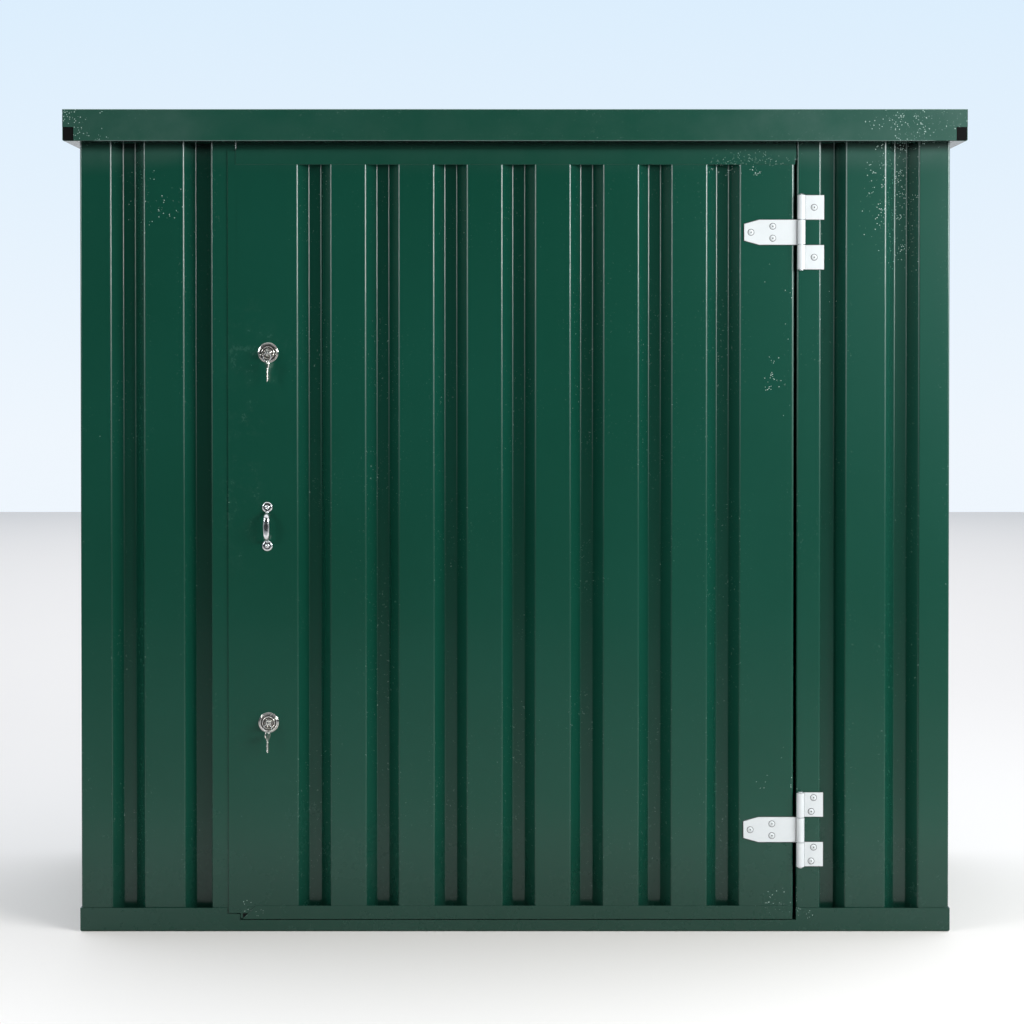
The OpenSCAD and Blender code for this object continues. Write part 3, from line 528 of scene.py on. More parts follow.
def rounded(section, r, steps=3):
    """Rounds the inner corners of a turned section by up to r."""
    pts = [Vector(p) for p in section]
    out = [pts[0]]
    for a, b, c in zip(pts, pts[1:], pts[2:]):
        d1, d2 = b - a, c - b
        cut = min(r, d1.length * 0.45, d2.length * 0.45)
        p, q = b - d1.normalized() * cut, b + d2.normalized() * cut
        for k in range(steps + 1):
            t = k / steps
            out.append(p.lerp(b, t).lerp(b.lerp(q, t), t))
    out.append(pts[-1])
    return [tuple(p) for p in out]


def tube(bm, points, radii, sides, flat=None, flat_axis=None):
    """A round bar along points, with a radius at each; flat widens it along flat_axis."""
    pts = [Vector(p) for p in points]
    n = len(pts)
    rings = []
    guide = None
    for i, p in enumerate(pts):
        d = (pts[min(i + 1, n - 1)] - pts[max(i - 1, 0)]).normalized()
        guide = d.orthogonal().normalized() if guide is None else (guide - d * guide.dot(d)).normalized()
        other = d.cross(guide)
        ring = []
        for k in range(sides):
            t = 2 * math.pi * k / sides
            off = (guide * math.cos(t) + other * math.sin(t)) * radii[i]
            if flat:
                off += flat_axis * off.dot(flat_axis) * (flat[i] - 1.0)
            ring.append(bm.verts.new(p + off))
        rings.append(ring)
    for a, b in zip(rings, rings[1:]):
        bridge(bm, a, b)
    bm.faces.new(rings[0][::-1])
    bm.faces.new(rings[-1])
    return bm


def screw_head(bm, centre, radius, height, axis=Vector((0, -1, 0)), recess="cross", turn=0.3, washer=0.0):
    """A domed head on a polar grid, with a cross recess, or the pulled-through hole of a blind rivet."""
    side = axis.orthogonal().normalized()
    other = axis.cross(side)
    spokes, rings = 48, 14
    reach, depth = radius * 0.46, height * 0.55

    def sunk(x, y):
        if recess == "cross":
            arm = min(max(abs(x), abs(y)) / reach, 2.0)
            thin = min(abs(x), abs(y)) / (radius * 0.10)
            return depth * max(0.0, min(1.0, (1.25 - thin) * 2)) * max(0.0, min(1.0, (1.0 - arm) * 4))
        return 1.3 * depth * max(0.0, min(1.0, (0.36 - math.hypot(x, y) / radius) / 0.1))

    layers = []
    for i in range(rings + 1):
        r = radius * i / rings
        dome = height * math.sqrt(max(0.0, 1 - (i / rings) ** 2.4)) if i < rings else 0.0
        ring = []
        for k in range(spokes if i else 1):
            t = 2 * math.pi * k / spokes + turn
            x, y = r * math.cos(t - turn), r * math.sin(t - turn)
            h = dome - sunk(x, y) + washer
            across = side * (r * math.cos(t)) + other * (r * math.sin(t))
            ring.append(bm.verts.new(centre + axis * h + across))
        layers.append(ring)
    foot = [bm.verts.new(v.co - axis * (washer + 0.3 * MM)) for v in layers[-1]]
    layers.append(foot)
    for a, b in zip(layers, layers[1:]):
        bridge(bm, a, b)
    bm.faces.new(foot)
    return bm


# ---- Corner posts, jambs and walls ----

def wall_piece(node, path, k, thickness=SHEET, depth=0.0, mirror=False, seed=0.0, radius=FOLD_R):
    """An upright sheet or post of wall k. mirror swaps its left and its right."""
    to_world = wall_frame(k)
    turn = Vector((-1, 1, 1)) if mirror else Vector((1, 1, 1))

    def place(u, v, z):
        return to_world(u, v, z) * turn

    bm = run_sheet(bmesh.new(), path, thickness, WALL_LOW, WALL_HIGH, place, 0.07, seed, depth, radius)
    return piece(node + "_sheet", bm, GREEN, "frame", [node])


POST = 76 * MM
for k, corner in enumerate(("front_left", "front_right", "back_right", "back_left")):
    wall_piece("corner_post_" + corner, [(0, POST), (0, 0), (POST, 0)], k, FRAME_STEEL, 0.3 * MM,
               seed=k, radius=FRAME_FOLD)

OPEN_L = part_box("lock_jamb")[1].x
OPEN_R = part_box("hinge_jamb")[0].x
LOCK_JAMB_W, HINGE_JAMB_W = 66 * MM, 61 * MM
JAMB_V = FRAME_STEEL + RIB_DEPTH
START = 14 * MM
FIRST = POST + 2 * MM + RIB_MOUTH / 2
FRONT_PITCH = 184 * MM


def front_panel_path(jamb_u):
    second = FIRST + FRONT_PITCH
    return [(START, FRAME_STEEL)] + rib(FIRST, FRAME_STEEL) + [
        (second - RIB_MOUTH / 2, FRAME_STEEL), (second - RIB_FLOOR / 2, JAMB_V), (jamb_u - 2 * MM, JAMB_V)]


left_path = front_panel_path(OPEN_L - LOCK_JAMB_W - LEFT)
right_path = front_panel_path(RIGHT - OPEN_R - HINGE_JAMB_W)
wall_piece("front_left_panel", left_path, 0, depth=0.5 * MM, seed=11)
wall_piece("front_right_panel", right_path, 0, depth=0.5 * MM, seed=12, mirror=True)

DEEP, WIDE = BACK - FRONT, RIGHT - LEFT
SIDE_RIBS, BACK_RIBS = 6, 6
side_ribs = rib_row(FIRST, DEEP - FIRST, SIDE_RIBS, FRAME_STEEL)
for k, node in ((1, "right_side_panel"), (3, "left_side_panel")):
    side_path = [(START, FRAME_STEEL)] + side_ribs + [(DEEP - START, FRAME_STEEL)]
    wall_piece(node, side_path, k, depth=0.9 * MM, seed=20 + k)
back_pitch = (WIDE - 2 * FIRST) / (2 * BACK_RIBS - 1)
back_ribs = rib_row(FIRST, FIRST + back_pitch * (BACK_RIBS - 1), BACK_RIBS, FRAME_STEEL)
# The two back sheets meet in the middle in upright seams
SEAM_U, SEAM_DEEP = WIDE / 2 - 0.1 * MM, 25 * MM
back_path = [(START, FRAME_STEEL)] + back_ribs + [(SEAM_U, FRAME_STEEL), (SEAM_U, FRAME_STEEL + SEAM_DEEP)]
wall_piece("back_right_panel", back_path, 2, depth=0.9 * MM, seed=31)
wall_piece("back_left_panel", back_path, 2, depth=0.9 * MM, seed=32, mirror=True)


def jamb_path(width):
    return [(20 * MM, JAMB_V), (0, JAMB_V), (0, 0), (width, 0), (width, JAMB_V - FRAME_STEEL),
            (width + 26 * MM, JAMB_V - FRAME_STEEL)]


JAMBS = ("lock_jamb", OPEN_L, LOCK_JAMB_W, -1), ("hinge_jamb", OPEN_R, HINGE_JAMB_W, 1)
for node, edge, width, way in JAMBS:
    bm = run_sheet(bmesh.new(), jamb_path(width), FRAME_STEEL, WALL_LOW, WALL_HIGH,
                   lambda u, v, z, e=edge, w=way: Vector((e + w * u, FRONT + v, z)),
                   seed=40 + way, depth=0.3 * MM, radius=FRAME_FOLD)
    piece(node + "_channel", bm, GREEN, "frame", [node])

# ---- Header, base and roof, whose sections run level ----


def level_sheet(path, k, thickness, low, high, seed, depth, radius=FRAME_FOLD):
    """Runs a section, drawn as (v, z), along wall k from u = low to u = high."""
    to_world = wall_frame(k)

    def place(v, z, u):
        return to_world(u, v, z)

    return run_sheet(bmesh.new(), path, thickness, low, high, place, 0.09, seed, depth, radius)


def world_box(k, u0, u1, v0, v1, z0, z1):
    """Two corners of a box that is given in wall k's own directions."""
    a, b = wall_frame(k)(u0, v0, z0), wall_frame(k)(u1, v1, z1)
    return tuple(map(min, a, b)), tuple(map(max, a, b))


def mitre(bm, k, length):
    """Cuts both ends of a member along wall k at 45 degrees."""
    to_world = wall_frame(k)
    for u0, way in ((0.0, 1.0), (length, -1.0)):
        origin = to_world(u0, 0.0, 0.0)
        inward = to_world(u0 + way, 1.0, 0.0) - origin
        normal = Vector((inward.y, -inward.x, 0.0))
        probe = to_world(u0 - way, 0.0, 0.0) - origin
        if normal.dot(probe) < 0:
            normal = -normal
        cut = bmesh.ops.bisect_plane(bm, geom=bm.verts[:] + bm.edges[:] + bm.faces[:], plane_co=origin,
                                     plane_no=normal, clear_outer=True)
        edges = [e for e in cut["geom_cut"] if isinstance(e, bmesh.types.BMEdge)]
        bmesh.ops.holes_fill(bm, edges=edges, sides=0)
    return bm


header_low, header_high = (corner.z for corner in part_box("door_header"))
header_path = [(JAMB_V - 2 * MM, header_high), (0, header_high), (0, header_low), (JAMB_V, header_low),
               (JAMB_V, header_low + 15 * MM)]
# A narrow gap is left between the header and the hinge jamb
header_from, header_to = OPEN_L - LEFT + 0.2 * MM, OPEN_R - LEFT - 1.8 * MM
bm = level_sheet(header_path, 0, FRAME_STEEL, header_from, header_to, seed=51, depth=0.2 * MM)
piece("door_header_rail", bm, GREEN, "frame", ["door_header"])

BASE_STEEL, BASE_WIDE, BASE_FLANGE = 2.5 * MM, 60 * MM, 25 * MM
BASE_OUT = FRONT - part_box("base_front_rail")[0].y
BASE_IN = BASE_WIDE - BASE_OUT
floor_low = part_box("floor_plates")[0].z
base_path = [(-BASE_OUT, BASE_TOP), (-BASE_OUT, 0), (BASE_IN, 0), (BASE_IN, floor_low - BASE_STEEL),
             (BASE_IN + BASE_FLANGE, floor_low - BASE_STEEL)]
for k, side in enumerate(("front", "right", "back", "left")):
    length = (WIDE, DEEP)[k % 2]
    bm = level_sheet(base_path, k, BASE_STEEL, -BASE_OUT, length + BASE_OUT, 60 + k, 0.25 * MM)
    mitre(bm, k, length)
    rail = piece(f"base_{side}_channel", bm, GREEN, "frame", [f"base_{side}_rail"])
    if side == "front":
        # The upstand is cut away for the door and for the foot of its cover flange
        low_y, high_y = FRONT - BASE_OUT - 2 * MM, FRONT
        carve(rail, ((OPEN_L + 5 * MM, low_y, floor_low), (OPEN_R, high_y, BASE_TOP + 0.01)),
              ((OPEN_L - 27 * MM, low_y, 45 * MM), (OPEN_L + 6 * MM, high_y, BASE_TOP + 0.01)))

GUTTER_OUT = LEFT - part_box("roof_left_gutter")[0].x
FASCIA_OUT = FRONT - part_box("roof_front_fascia")[0].y
SEAT = WALL_HIGH + 2 * MM
ROOF_STEEL = 1.5 * MM
RISER = 0.5 * MM
DRAIN_W, DRAIN_H = 28 * MM, 35 * MM
PAST = 10 * MM


def eave_path(out, top, lip):
    return [(-(out - lip), top), (-out, top), (-out, EAVE), (-RISER, EAVE), (-RISER, SEAT), (50 * MM, SEAT)]


def end_cuts(k, length, out, reach, v0, v1, z0, z1):
    """The same box at both ends of a member: from past its end to reach, along the wall."""
    return [world_box(k, u0, u1, v0, v1, z0, z1)
            for u0, u1 in ((-out - PAST, reach), (length - reach, length + out + PAST))]


for k, node in ((0, "roof_front_fascia"), (2, "roof_back_fascia")):
    eave = eave_path(FASCIA_OUT, TOP, FASCIA_OUT + 30 * MM)
    bm = level_sheet(eave, k, ROOF_STEEL, -GUTTER_OUT, WIDE + GUTTER_OUT, 70 + k, 0.5 * MM, 0.8 * MM)
    obj = piece(node + "_folded", bm, GREEN, "frame", [node])
    # Past the walls only its face and top go on, and the face has a drain notch at each end
    below, under_top, face_back = EAVE - 1 * MM, TOP - ROOF_STEEL, ROOF_STEEL - FASCIA_OUT
    seats = end_cuts(k, WIDE, GUTTER_OUT, 0.0, -RISER, 60 * MM, below, under_top)
    soffits = end_cuts(k, WIDE, GUTTER_OUT, -RISER, face_back, 0.0, below, under_top)
    drains = end_cuts(k, WIDE, GUTTER_OUT, DRAIN_W - GUTTER_OUT, -FASCIA_OUT - 2 * MM, face_back + 1 * MM,
                      below, EAVE + DRAIN_H)
    carve(obj, *seats, *soffits, *drains)

for k, node in ((1, "roof_right_gutter"), (3, "roof_left_gutter")):
    eave = eave_path(GUTTER_OUT, TOP - ROOF_STEEL, 8 * MM)
    end = FASCIA_OUT - ROOF_STEEL
    bm = level_sheet(eave, k, ROOF_STEEL, -end, DEEP + end, 80 + k, 0.5 * MM, 2.5 * MM)
    obj = piece(node + "_folded", bm, GREEN, "frame", [node])
    carve(obj, *end_cuts(k, DEEP, FASCIA_OUT, 52 * MM, -RISER, 60 * MM, EAVE - 1 * MM, TOP - ROOF_STEEL))

ROOF_RIBS = 3
for way, node in ((1, "roof_front_sheet"), (-1, "roof_back_sheet")):
    span = DEEP / 2 - 3 * MM
    pitch, foot, crest, tall = span / ROOF_RIBS, 60 * MM, 24 * MM, 25 * MM
    z0 = SEAT + ROOF_STEEL
    path = [(-span, z0)]
    for i in range(ROOF_RIBS):
        path += rib(pitch * (i + 0.5) - span, z0, foot, crest, tall)
    # The upstand where the front and the back sheet meet
    path += [(-0.1 * MM, z0), (-0.1 * MM, z0 + 20 * MM)]
    bm = run_sheet(bmesh.new(), path, SHEET, LEFT - 8 * MM, RIGHT + 8 * MM,
                   lambda v, z, u, w=way: Vector((u, w * v, z)), 0.09, 90 + way, 0.9 * MM)
    piece(node + "_folded", bm, GREEN, "frame", [node])

# ---- Door ----

SKIN_V = DOOR_SKIN_FRONT - FRONT
skin_low, skin_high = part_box("door_skin")[0].z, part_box("door_skin")[1].z
door_left, door_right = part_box("door_skin")[0].x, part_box("door_skin")[1].x
rail_low_z, rail_high_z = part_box("door_top_rail")[0].z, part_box("door_top_rail")[1].z
RAIL_TOP = header_low - 3.5 * MM
DOOR_BACK = 33 * MM
DOOR_RIBS = 7
door_first = OPEN_L + 153 * MM + RIB_MOUTH / 2
door_last = OPEN_R - 144 * MM - RIB_MOUTH / 2


def front_place(x, v, z):
    """A point at x and z, v in from the front of the wall."""
    return Vector((x, FRONT + v, z))


def upright_place(x, z, v):
    return front_place(x, v, z)


def level_place(v, z, x):
    return front_place(x, v, z)


door_ribs = rib_row(door_first, door_last, DOOR_RIBS, SKIN_V)
door_path = [(OPEN_L, SKIN_V)] + door_ribs + [(door_right, SKIN_V), (door_right, DOOR_BACK)]
bm = run_sheet(bmesh.new(), door_path, SHEET, skin_low, RAIL_TOP - ROOF_STEEL, front_place, 0.06,
               seed=101, depth=0.8 * MM)
piece("door_sheet", bm, GREEN, "door", ["door_skin"])
# The cover flange on the lock side, folded back on itself in a hem
hem_x = door_left + 1.2 * MM
flange = [(OPEN_L + 0.4 * MM, SKIN_V), (hem_x, SKIN_V)]
hem = [(hem_x, SKIN_V), (door_left, SKIN_V + 1 * MM), (hem_x, SKIN_V + 2 * MM),
       (door_left + 10 * MM, SKIN_V + 2 * MM)]
bm = run_sheet(bmesh.new(), flange, -SHEET, skin_low, skin_high, front_place, 0.06)
run_sheet(bm, hem, -0.9 * MM, skin_low, skin_high, front_place, 0.06, radius=0.1 * MM, steps=2)
piece("door_cover_flange", bm, GREEN, "door")

STRIP_V = SKIN_V - ROOF_STEEL


def oblong(v0, z0, v1, z1):
    return [(v0, z0), (v1, z0), (v1, z1), (v0, z1)]


frame_left = OPEN_L + 5 * MM
rail_left, rail_right, rail_back = frame_left + 4 * MM, door_right - 2 * MM, DOOR_BACK + 3 * MM
bm = slab(bmesh.new(), oblong(STRIP_V, rail_high_z - 39 * MM, SKIN_V + 1 * MM, rail_high_z),
          OPEN_L - 3 * MM, door_right + 2.3 * MM, level_place)
slab(bm, oblong(SKIN_V, RAIL_TOP - ROOF_STEEL, rail_back, RAIL_TOP), rail_left, rail_right, level_place)
slab(bm, oblong(rail_back - ROOF_STEEL, rail_low_z, rail_back, RAIL_TOP), rail_left, rail_right, level_place)
bevelled(piece("door_top_strip", bm, GREEN, "door", ["door_top_rail"]), 0.8 * MM)

bottom_low, bottom_high = (corner.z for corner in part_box("door_bottom_rail"))
b_left, b_right = frame_left + 8 * MM, door_right - 2 * MM
strip = [(b_left, bottom_low), (b_right, bottom_low), (b_right, bottom_high), (b_left + 31 * MM, bottom_high),
         (b_left, bottom_low + 2 * MM)]
bm = slab(bmesh.new(), strip, STRIP_V, SKIN_V, upright_place)
slab(bm, oblong(SKIN_V, bottom_low, rail_back, bottom_low + ROOF_STEEL), b_left, b_right, level_place)
slab(bm, oblong(rail_back - ROOF_STEEL, bottom_low, rail_back, bottom_high), b_left, b_right, level_place)
bevelled(piece("door_bottom_strip", bm, GREEN, "door", ["door_bottom_rail"]), 0.8 * MM)

# Painted shadow: a black sheet in the corner where the strip is cut off below the sheet
corner = oblong(b_left, bottom_low + 2 * MM, b_left + 24 * MM, skin_low)
bm = slab(bmesh.new(), corner, SKIN_V + 0.2 * MM, SKIN_V + 3 * MM, upright_place)
piece("door_corner_painted_shadow", bm, RUBBER, "door")

# ---- Hinges ----

LEAF = 4 * MM
LEAF_H = 63 * MM
KNUCKLE = 10 * MM
KNUCKLE_GAP = 0.8 * MM


def knuckle(bm, z0, z1):
    """One rolled barrel of a hinge, with a bore for the pin."""
    bore, chamfer = 5.2 * MM, 0.8 * MM
    shoulder = KNUCKLE - chamfer
    section = rounded([(bore, z0), (shoulder, z0), (KNUCKLE, z0 + chamfer), (KNUCKLE, z1 - chamfer),
                       (shoulder, z1), (bore, z1)], 0.5 * MM)
    return lathe(bm, section, Vector((PIN_X, PIN_Y, 0)), Vector((0, 0, 1)), 40)


def crease(bm, x, z, face):
    """A painted shade line where a leaf meets its knuckle."""
    half = LEAF_H / 2 - 1.5 * MM
    slab(bm, oblong(x - 0.7 * MM, z - half, x + 0.7 * MM, z + half), face - 0.12 * MM, face + 0.3 * MM,
         lambda p, q, d: Vector((p, d, q)))


def grown(outline, by):
    """The outline of a leaf, larger by a little all round."""
    heart = sum((Vector(p) for p in outline), Vector((0, 0))) / len(outline)
    return [(x + math.copysign(by, x - heart.x), z + math.copysign(by, z - heart.y)) for x, z in outline]


def beside(z):
    """Places an outline, drawn round height z, at a depth in y."""
    return lambda x, dz, y: Vector((x, y, z + dz))


def rivets(name, sites, node, body):
    """Blind rivets, with a painted shadow round each flange and painted shade on the stem in each hole."""
    bm = bmesh.new()
    painted_shadows = bmesh.new()
    flange = [(0, 0.2), (6.8, 0.2), (7.2, 0.5), (7.0, 1.1), (0, 1.1)]
    shadow_ring = [(0, 0), (8.5, 0), (8.3, 0.25), (0, 0.25)]
    shaded_stem = [(0, 0), (1.7, 0), (1.6, 2.0), (0, 2.0)]
    for i, site in enumerate(sites):
        seat = Vector(site)
        lathe(bm, rounded(in_mm(flange), 0.3 * MM), seat, segments=40)
        screw_head(bm, seat + Vector((0, -0.9 * MM, 0)), 6.2 * MM, 1.9 * MM, recess="rivet", turn=i * 0.7)
        # Painted shadow round the flange and painted shade on the stem in its hole
        lathe(painted_shadows, in_mm(shadow_ring), seat, segments=40)
        lathe(painted_shadows, in_mm(shaded_stem), seat, segments=16)
    piece(name + "_cracks", painted_shadows, PAINTED_SHADE, body, sharp=50)
    return piece(name, bm, WHITE, body, [node], weighted=False, sharp=50)


for side in ("upper", "lower"):
    z = STRAP_Z[side]
    leaf_front = FRONT + SKIN_V - LEAF
    outline = [(PIN_X - 4 * MM, LEAF_H / 2), (PIN_X - 106 * MM, LEAF_H / 2), (PIN_X - 144 * MM, 21 * MM),
               (PIN_X - 144 * MM, -21 * MM), (PIN_X - 106 * MM, -LEAF_H / 2), (PIN_X - 4 * MM, -LEAF_H / 2)]
    bm = slab(bmesh.new(), outline, leaf_front, leaf_front + LEAF, beside(z))
    knuckle(bm, z - LEAF_H / 2 + KNUCKLE_GAP, z + LEAF_H / 2 - KNUCKLE_GAP)
    creases = bmesh.new()
    crease(creases, PIN_X - KNUCKLE - 0.6 * MM, z, leaf_front)
    # Painted shadow: a dark sheet just behind the leaf, a little larger all round
    slab(creases, grown(outline, 1.1 * MM), leaf_front + LEAF - 0.4 * MM, leaf_front + LEAF, beside(z))
    piece(side + "_strap_painted_shade", creases, PAINTED_SHADE, "door")
    strap = piece(side + "_strap", bm, WHITE, "door", [side + "_hinge_strap"])
    bevelled(strap, 0.9 * MM, 3, 50)
    bm = bmesh.new()
    creases = bmesh.new()
    for way in (-1, 1):
        half = LEAF_H / 2 - KNUCKLE_GAP
        zc = z + way * LEAF_H
        crease(creases, PIN_X + KNUCKLE + 0.6 * MM, zc, FRONT - LEAF)
        leaf = oblong(PIN_X + 3 * MM, -half, PIN_X + 58 * MM, half)
        slab(bm, leaf, FRONT - LEAF, FRONT, beside(zc))
        # Painted shadow: a dark sheet just behind each leaf, a little larger all round
        slab(creases, grown(leaf, 1.1 * MM), FRONT - 0.4 * MM, FRONT, beside(zc))
        knuckle(bm, zc - half, zc + half)
    piece(side + "_plate_painted_shade", creases, PAINTED_SHADE, "frame")
    plates = piece(side + "_plates", bm, WHITE, "frame", [side + "_hinge_plates"])
    bevelled(plates, 0.9 * MM, 3, 50)

STRAP_RIVETS = ((-127, 0), (-72, 15), (-72, -15))
PLATE_RIVETS = {"upper": ((33, 0),), "lower": ((34, 18), (28, -17))}
strap_sites = [(PIN_X + dx * MM, FRONT + SKIN_V - LEAF, z + dz * MM)
               for z in STRAP_Z.values() for dx, dz in STRAP_RIVETS]
plate_sites = [(PIN_X + dx * MM, FRONT - LEAF, STRAP_Z[side] + way * LEAF_H + dz * MM)
               for side, places in PLATE_RIVETS.items() for way in (-1, 1) for dx, dz in places]
rivets("strap_blind_rivets", strap_sites, "strap_rivets", "door")
rivets("plate_blind_rivets", plate_sites, "hinge_plate_rivets", "frame")

# ---- Handle ----

SPAN = 98 * MM
FOOT = ((0, 4), (0, 4.2), (9.5, 4.2), (11.5, 3.6), (13.5, 1.6), (13.5, 0), (0, 0))
skin_y = FRONT + SKIN_V


def handle_end(way, out=0.0):
    return Vector((HANDLE_X, skin_y - out, HANDLE_Z + way * SPAN / 2))


bm = bmesh.new()
for way in (-1, 1):
    lathe(bm, rounded(in_mm(FOOT), 0.8 * MM), handle_end(way), segments=64)
half, rise = SPAN / 2 - 11 * MM, 26 * MM
bow, thick, wide = [], [], []
for i in range(41):
    t = -math.cos(math.pi * i / 40)
    swell = max(0.0, math.cos(t * math.pi / 2)) ** 0.7
    bow.append(Vector((HANDLE_X, skin_y - 3 * MM - rise * (1 - abs(t) ** 5), HANDLE_Z + half * t)))
    thick.append((3.4 + 1.2 * swell) * MM)
    wide.append((4.6 + 3.8 * swell) / (3.4 + 1.2 * swell))
tube(bm, bow, thick, 24, flat=wide, flat_axis=Vector((1, 0, 0)))
piece("pull_handle", bm, CHROME, "door", ["door_handle"], weighted=False, sharp=50)
bm = bmesh.new()
for i, way in enumerate((-1, 1)):
    screw_head(bm, handle_end(way, 4 * MM), 5.4 * MM, 2.6 * MM, turn=0.4 + i)
piece("pull_handle_screws", bm, CHROME, "door", ["handle_screws"], weighted=False, sharp=50)

# ---- Locks, keys and rings ----

KEY_HOLE_OUT = 29.5 * MM
BOW_R, BOW_T, HOLE_R, HOLE_OFF = 11.5 * MM, 3 * MM, 3.0 * MM, 5.5 * MM
RING_R, WIRE_R = 10 * MM, 0.9 * MM
# Half the section of a rosette, in millimetres out from its axis and forwards from the door
ROSETTE_FACE = (
    (7.3, 8.6), (7.6, 9.6), (9.4, 9.9), (10.4, 9.3), (10.8, 7.9), (13.4, 7.7), (14.0, 8.9), (15.6, 9.0),
    (16.4, 7.8), (16.8, 5.6), (19.2, 5.4), (19.8, 6.8), (22.6, 6.5), (23.4, 5.4), (23.7, 3.9),
    (25.2, 3.4), (26.0, 2.2), (26.0, 0.0))
PLUG = ((0, -44), (6.9, -44), (7.0, -43), (7.0, 9.8), (6.2, 10.5), (0, 10.5))
LOCK_CUTS, SPARE_CUTS = (1.5, 2.4, 1.0, 2.0), (2.2, 2.6, 1.9, 2.5, 2.0, 2.4)
SPARE_TURN = {"upper": math.radians(27), "lower": math.radians(-29)}


def key_blank(bm, centre, out_dir, length, teeth):
    """A flat key whose faces look along X. Its blade points along out_dir from the bow's centre."""
    side = Vector((1, 0, 0))
    across = out_dir.cross(side).normalized()
    hole = -out_dir * HOLE_OFF
    segments, layers = 56, []
    edge, half_bow = 0.5 * MM, BOW_T / 2
    full, worn = (BOW_R, HOLE_R), (BOW_R - edge, HOLE_R + edge * 0.6)
    depths = (-half_bow, edge - half_bow, half_bow - edge, half_bow)
    for x, (outer_r, inner_r) in zip(depths, (worn, full, full, worn)):
        rim, bore = [], []
        for k in range(segments):
            t = 2 * math.pi * k / segments
            d = out_dir * math.cos(t) + across * math.sin(t)
            flatten = 1.0 - 0.07 * max(0.0, math.cos(2 * t)) ** 2
            rim.append(bm.verts.new(centre + d * outer_r * flatten + side * x))
            bore.append(bm.verts.new(centre + hole + d * inner_r + side * x))
        layers.append((rim, bore))
    for (rim, bore), (next_rim, next_bore) in zip(layers, layers[1:]):
        bridge(bm, rim, next_rim)
        bridge(bm, next_bore, bore)
    for rim, bore in (layers[0], layers[-1]):
        bridge(bm, rim, bore)
    # The blade: a flat bar with V cuts along both edges and a shoulder at the bow
    half_t, start = 1.5 * MM, BOW_R * 0.86
    end = BOW_R + length
    near_edge, far_edge = [(start, 4 * MM)], [(start, -4 * MM)]
    for i, depth in enumerate(teeth):
        pitch = (length - 2 * MM) / (len(teeth) + 0.6)
        crest, valley = start + pitch * (i + 0.9), start + pitch * (i + 1.4)
        near_edge += [(crest, 4 * MM), (valley, (4 - depth) * MM)]
        far_edge += [(crest, -4 * MM), (valley, -(4 - teeth[-1 - i]) * MM)]
    tip = [(end - 2.5 * MM, -2.8 * MM), (end, 0), (end - 2.5 * MM, 2.8 * MM)]
    outline = far_edge + tip + near_edge[::-1]
    slab(bm, outline, -half_t, half_t, lambda d, a, x: centre + out_dir * d + across * a + side * x)
    return bm


def split_ring(bm, centre, normal):
    """Two turns of wire lying against each other."""
    side = normal.orthogonal().normalized()
    other = normal.cross(side)
    points = []
    for i in range(121):
        t = 4 * math.pi * i / 120
        lift = 0.5 * math.tanh((i / 120 - 0.5) * 7) / math.tanh(3.5)
        round_it = (side * math.cos(t) + other * math.sin(t)) * RING_R
        points.append(centre + round_it + normal * lift * WIRE_R * 1.15)
    return tube(bm, points, [WIRE_R * 0.62] * len(points), 10)


for side in ("upper", "lower"):
    lock_z = LOCK_Z[side]
    centre = Vector((LOCK_X, skin_y, lock_z))
    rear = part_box(side + "_lock_housing")[1].y - skin_y
    bm = bmesh.new()
    section = in_mm(ROSETTE_FACE)
    section += [(14 * MM, 0.0), (14 * MM, -rear), (7.3 * MM, -rear), (7.3 * MM, 8.6 * MM)]
    lathe(bm, rounded(section, 0.45 * MM), centre, segments=96)
    # The threads that the fixing nut runs on
    for i in range(12):
        h = -(6 + i * 1.6) * MM
        lathe(bm, [(13.8 * MM, h + 0.7 * MM), (14.5 * MM, h), (13.8 * MM, h - 0.7 * MM)], centre, segments=48)
    piece(side + "_lock_rosette", bm, LOCK_PLATE, "door", [side + "_lock_housing"], weighted=False, sharp=40)
    # The plug has a keyway, so it is a ring of metal round a slot
    bm = bmesh.new()
    slot_t, slot_w = 1.5 * MM, 4.3 * MM
    lathe(bm, rounded(in_mm(PLUG), 0.4 * MM), centre, segments=64)
    # Its square tail holds the cam
    slab(bm, oblong(-4 * MM, -4 * MM, 4 * MM, 4 * MM), 43.5 * MM, 53.5 * MM,
         lambda p, q, d: centre + Vector((p, d, q)))
    plug = piece(side + "_plug", bm, NICKEL, side + "_lock", [side + "_lock_plug"], weighted=False, sharp=40)
    carve(plug, (centre + Vector((-slot_t, -12 * MM, -slot_w)), centre + Vector((slot_t, 16 * MM, slot_w))))
    key_middle = centre + Vector((0, HOLE_OFF - KEY_HOLE_OUT, 0))
    bm = key_blank(bmesh.new(), key_middle, Vector((0, 1, 0)), 23.5 * MM, LOCK_CUTS)
    key = piece(side + "_key_in_lock", bm, NICKEL, side + "_key_blade", [side + "_key"], sharp=40)
    bevelled(key, 0.25 * MM, 2, 60)
    ring_top = lock_z - 1.4 * MM
    ring_middle = Vector((LOCK_X, skin_y - KEY_HOLE_OUT, ring_top - RING_R))
    bm = split_ring(bmesh.new(), ring_middle, Vector((0, -1, 0)))
    piece(side + "_ring_of_wire", bm, STEEL, side + "_ring", [side + "_key_ring"], weighted=False, sharp=60)
    spare_middle = ring_middle - Vector((0, 0, RING_R + 1.4 * MM + HOLE_OFF))
    bm = key_blank(bmesh.new(), spare_middle, Vector((0, 0, -1)), 34 * MM, SPARE_CUTS)
    # It hangs slightly turned on its ring
    bmesh.ops.rotate(bm, verts=bm.verts, cent=spare_middle, matrix=Matrix.Rotation(SPARE_TURN[side], 3, "Z"))
    spare = piece(side + "_spare", bm, NICKEL, side + "_spare", [side + "_spare_key"], sharp=40)
    bevelled(spare, 0.45 * MM, 3, 50)

# ---- Finishes for the pieces that keep their own shape ----

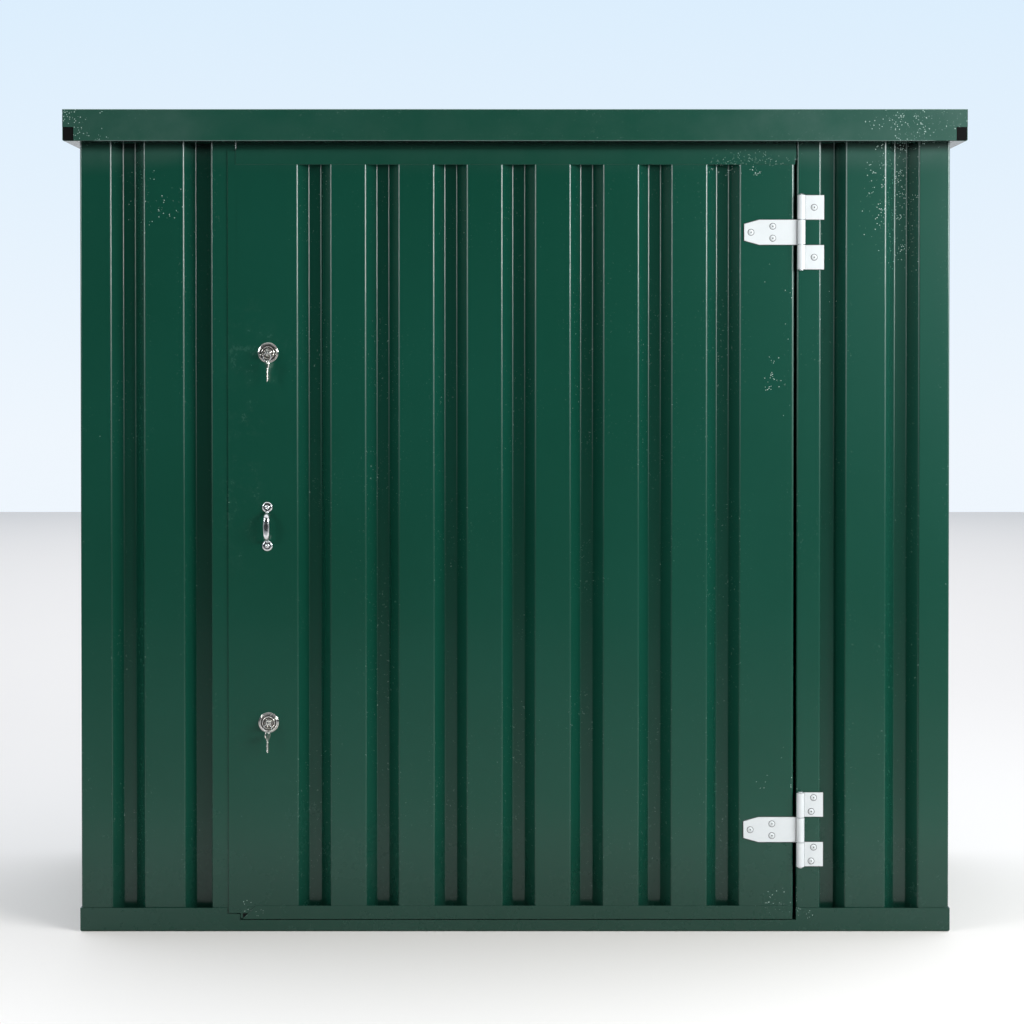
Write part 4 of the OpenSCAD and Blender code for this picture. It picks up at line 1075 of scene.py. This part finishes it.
KEEPS = {
    "floor_plates": ZINC, "base_bearers": ZINC, "roof_bearers": ZINC, "lock_keepers": ZINC,
    "frame_bolts": STEEL, "hinge_pins": STEEL, "lock_nuts": STEEL,
    "upper_lock_cam": STEEL, "lower_lock_cam": STEEL,
    "jamb_screws": GREEN, "sill_plate": GREEN, "door_lock_stile": GREEN, "door_hinge_stile": GREEN,
    "door_braces": GREEN, "gutter_end_plugs": RUBBER,
}
for node, finish in KEEPS.items():
    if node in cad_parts:
        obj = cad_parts[node]
        for material_slot in obj.material_slots:
            material_slot.material = finish
        bevelled(obj, 0.4 * MM, 2, 40)

# ---- Camera, floor and light ----

EYE_HEIGHT, DISTANCE, TILT = 1.45, 6.478, math.radians(0.9)
scene = bpy.context.scene
cam = bpy.data.cameras.new("camera")
cam.sensor_width, cam.lens = 36.0, 90.0
cam.shift_y = -0.109
camera = bpy.data.objects.new("camera", cam)
camera.location = (-7.5 * MM, FRONT - DISTANCE, EYE_HEIGHT)
camera.rotation_euler = (math.pi / 2 - TILT, 0, 0)
scene.collection.objects.link(camera)
scene.camera = camera

# The floor ends where the line of sight through the middle of the picture meets the ground
SIGHT_DROP = TILT + math.atan(-cam.shift_y * cam.sensor_width / cam.lens)
FLOOR_BACK = camera.location.y + EYE_HEIGHT / math.tan(SIGHT_DROP)
FLOOR_FRONT, FLOOR_HALF = camera.location.y - 1.0, 16.0

bm = bmesh.new()
corners = oblong(-FLOOR_HALF, FLOOR_FRONT, FLOOR_HALF, FLOOR_BACK)
bm.faces.new([bm.verts.new((x, y, 0.0)) for x, y in corners])
floor_mesh = bpy.data.meshes.new("floor")
bm.to_mesh(floor_mesh)
bm.free()
floor = bpy.data.objects.new("floor", floor_mesh)
scene.collection.objects.link(floor)
ground = Finish("pale floor", Roughness=0.85, Specular_IOR_Level=0.15)
pale = ground.mix(ground.grain(0.8, 3) * 0.3, (0.83, 0.77, 0.74), (0.80, 0.74, 0.71))
# Painted shade: it is greyer from the front of the set towards the camera
ground.wear(Base_Color=ground.mix(ground.y.rise(-1.52, -2.5), pale, (0.40, 0.38, 0.37)))
floor_mesh.materials.append(ground.material)

scene.view_settings.view_transform = "Standard"
world = bpy.data.worlds.new("studio")
scene.world = world
world.use_nodes = True
sky = Graph(world.node_tree)
ray = sky.node("TexCoord", out="Generated")
height = sky.split(ray, "Z").rise(-0.03, 0.15, smooth=False)
blue = sky.mix(height, (0.862, 0.925, 0.990), (0.705, 0.850, 0.985))
# Behind the camera the room is dark, so the flats of the door mirror nothing bright
lit = sky.split(ray, "Y").rise(-0.6, 0.3)
room = sky.mix(lit, (0.035, 0.037, 0.040), blue)
sky.tree.links.new(room.socket, sky.tree.nodes["Background"].inputs["Color"])


def softbox(name, at, aim, wide, tall, radiance, colour=(1, 1, 1)):
    """A soft panel light whose face shines with the given radiance."""
    light = bpy.data.lights.new(name, "AREA")
    light.shape, light.size, light.size_y = "RECTANGLE", wide, tall
    light.energy, light.color = radiance * math.pi * wide * tall, colour
    obj = bpy.data.objects.new(name, light)
    obj.location = at
    obj.rotation_euler = (Vector(aim) - Vector(at)).to_track_quat("-Z", "Y").to_euler()
    obj.visible_camera = False
    scene.collection.objects.link(obj)


softbox("overhead", (0, 7.0, 6.5), (0, 7.0, 0), 14.0, 22.0, 0.9, (1.0, 0.99, 0.97))
softbox("front canopy", (0.3, -2.6, 3.6), (0.1, -0.6, 1.7), 4.8, 0.8, 0.7)
softbox("right bank", (3.6, -3.6, 2.5), (0.3, -0.5, 1.6), 3.2, 1.5, 16.5, (0.94, 1.0, 1.0))
softbox("left strip", (-3.6, -3.3, 2.5), (-0.3, -0.5, 1.6), 0.8, 1.5, 15.0, (0.94, 1.0, 1.0))
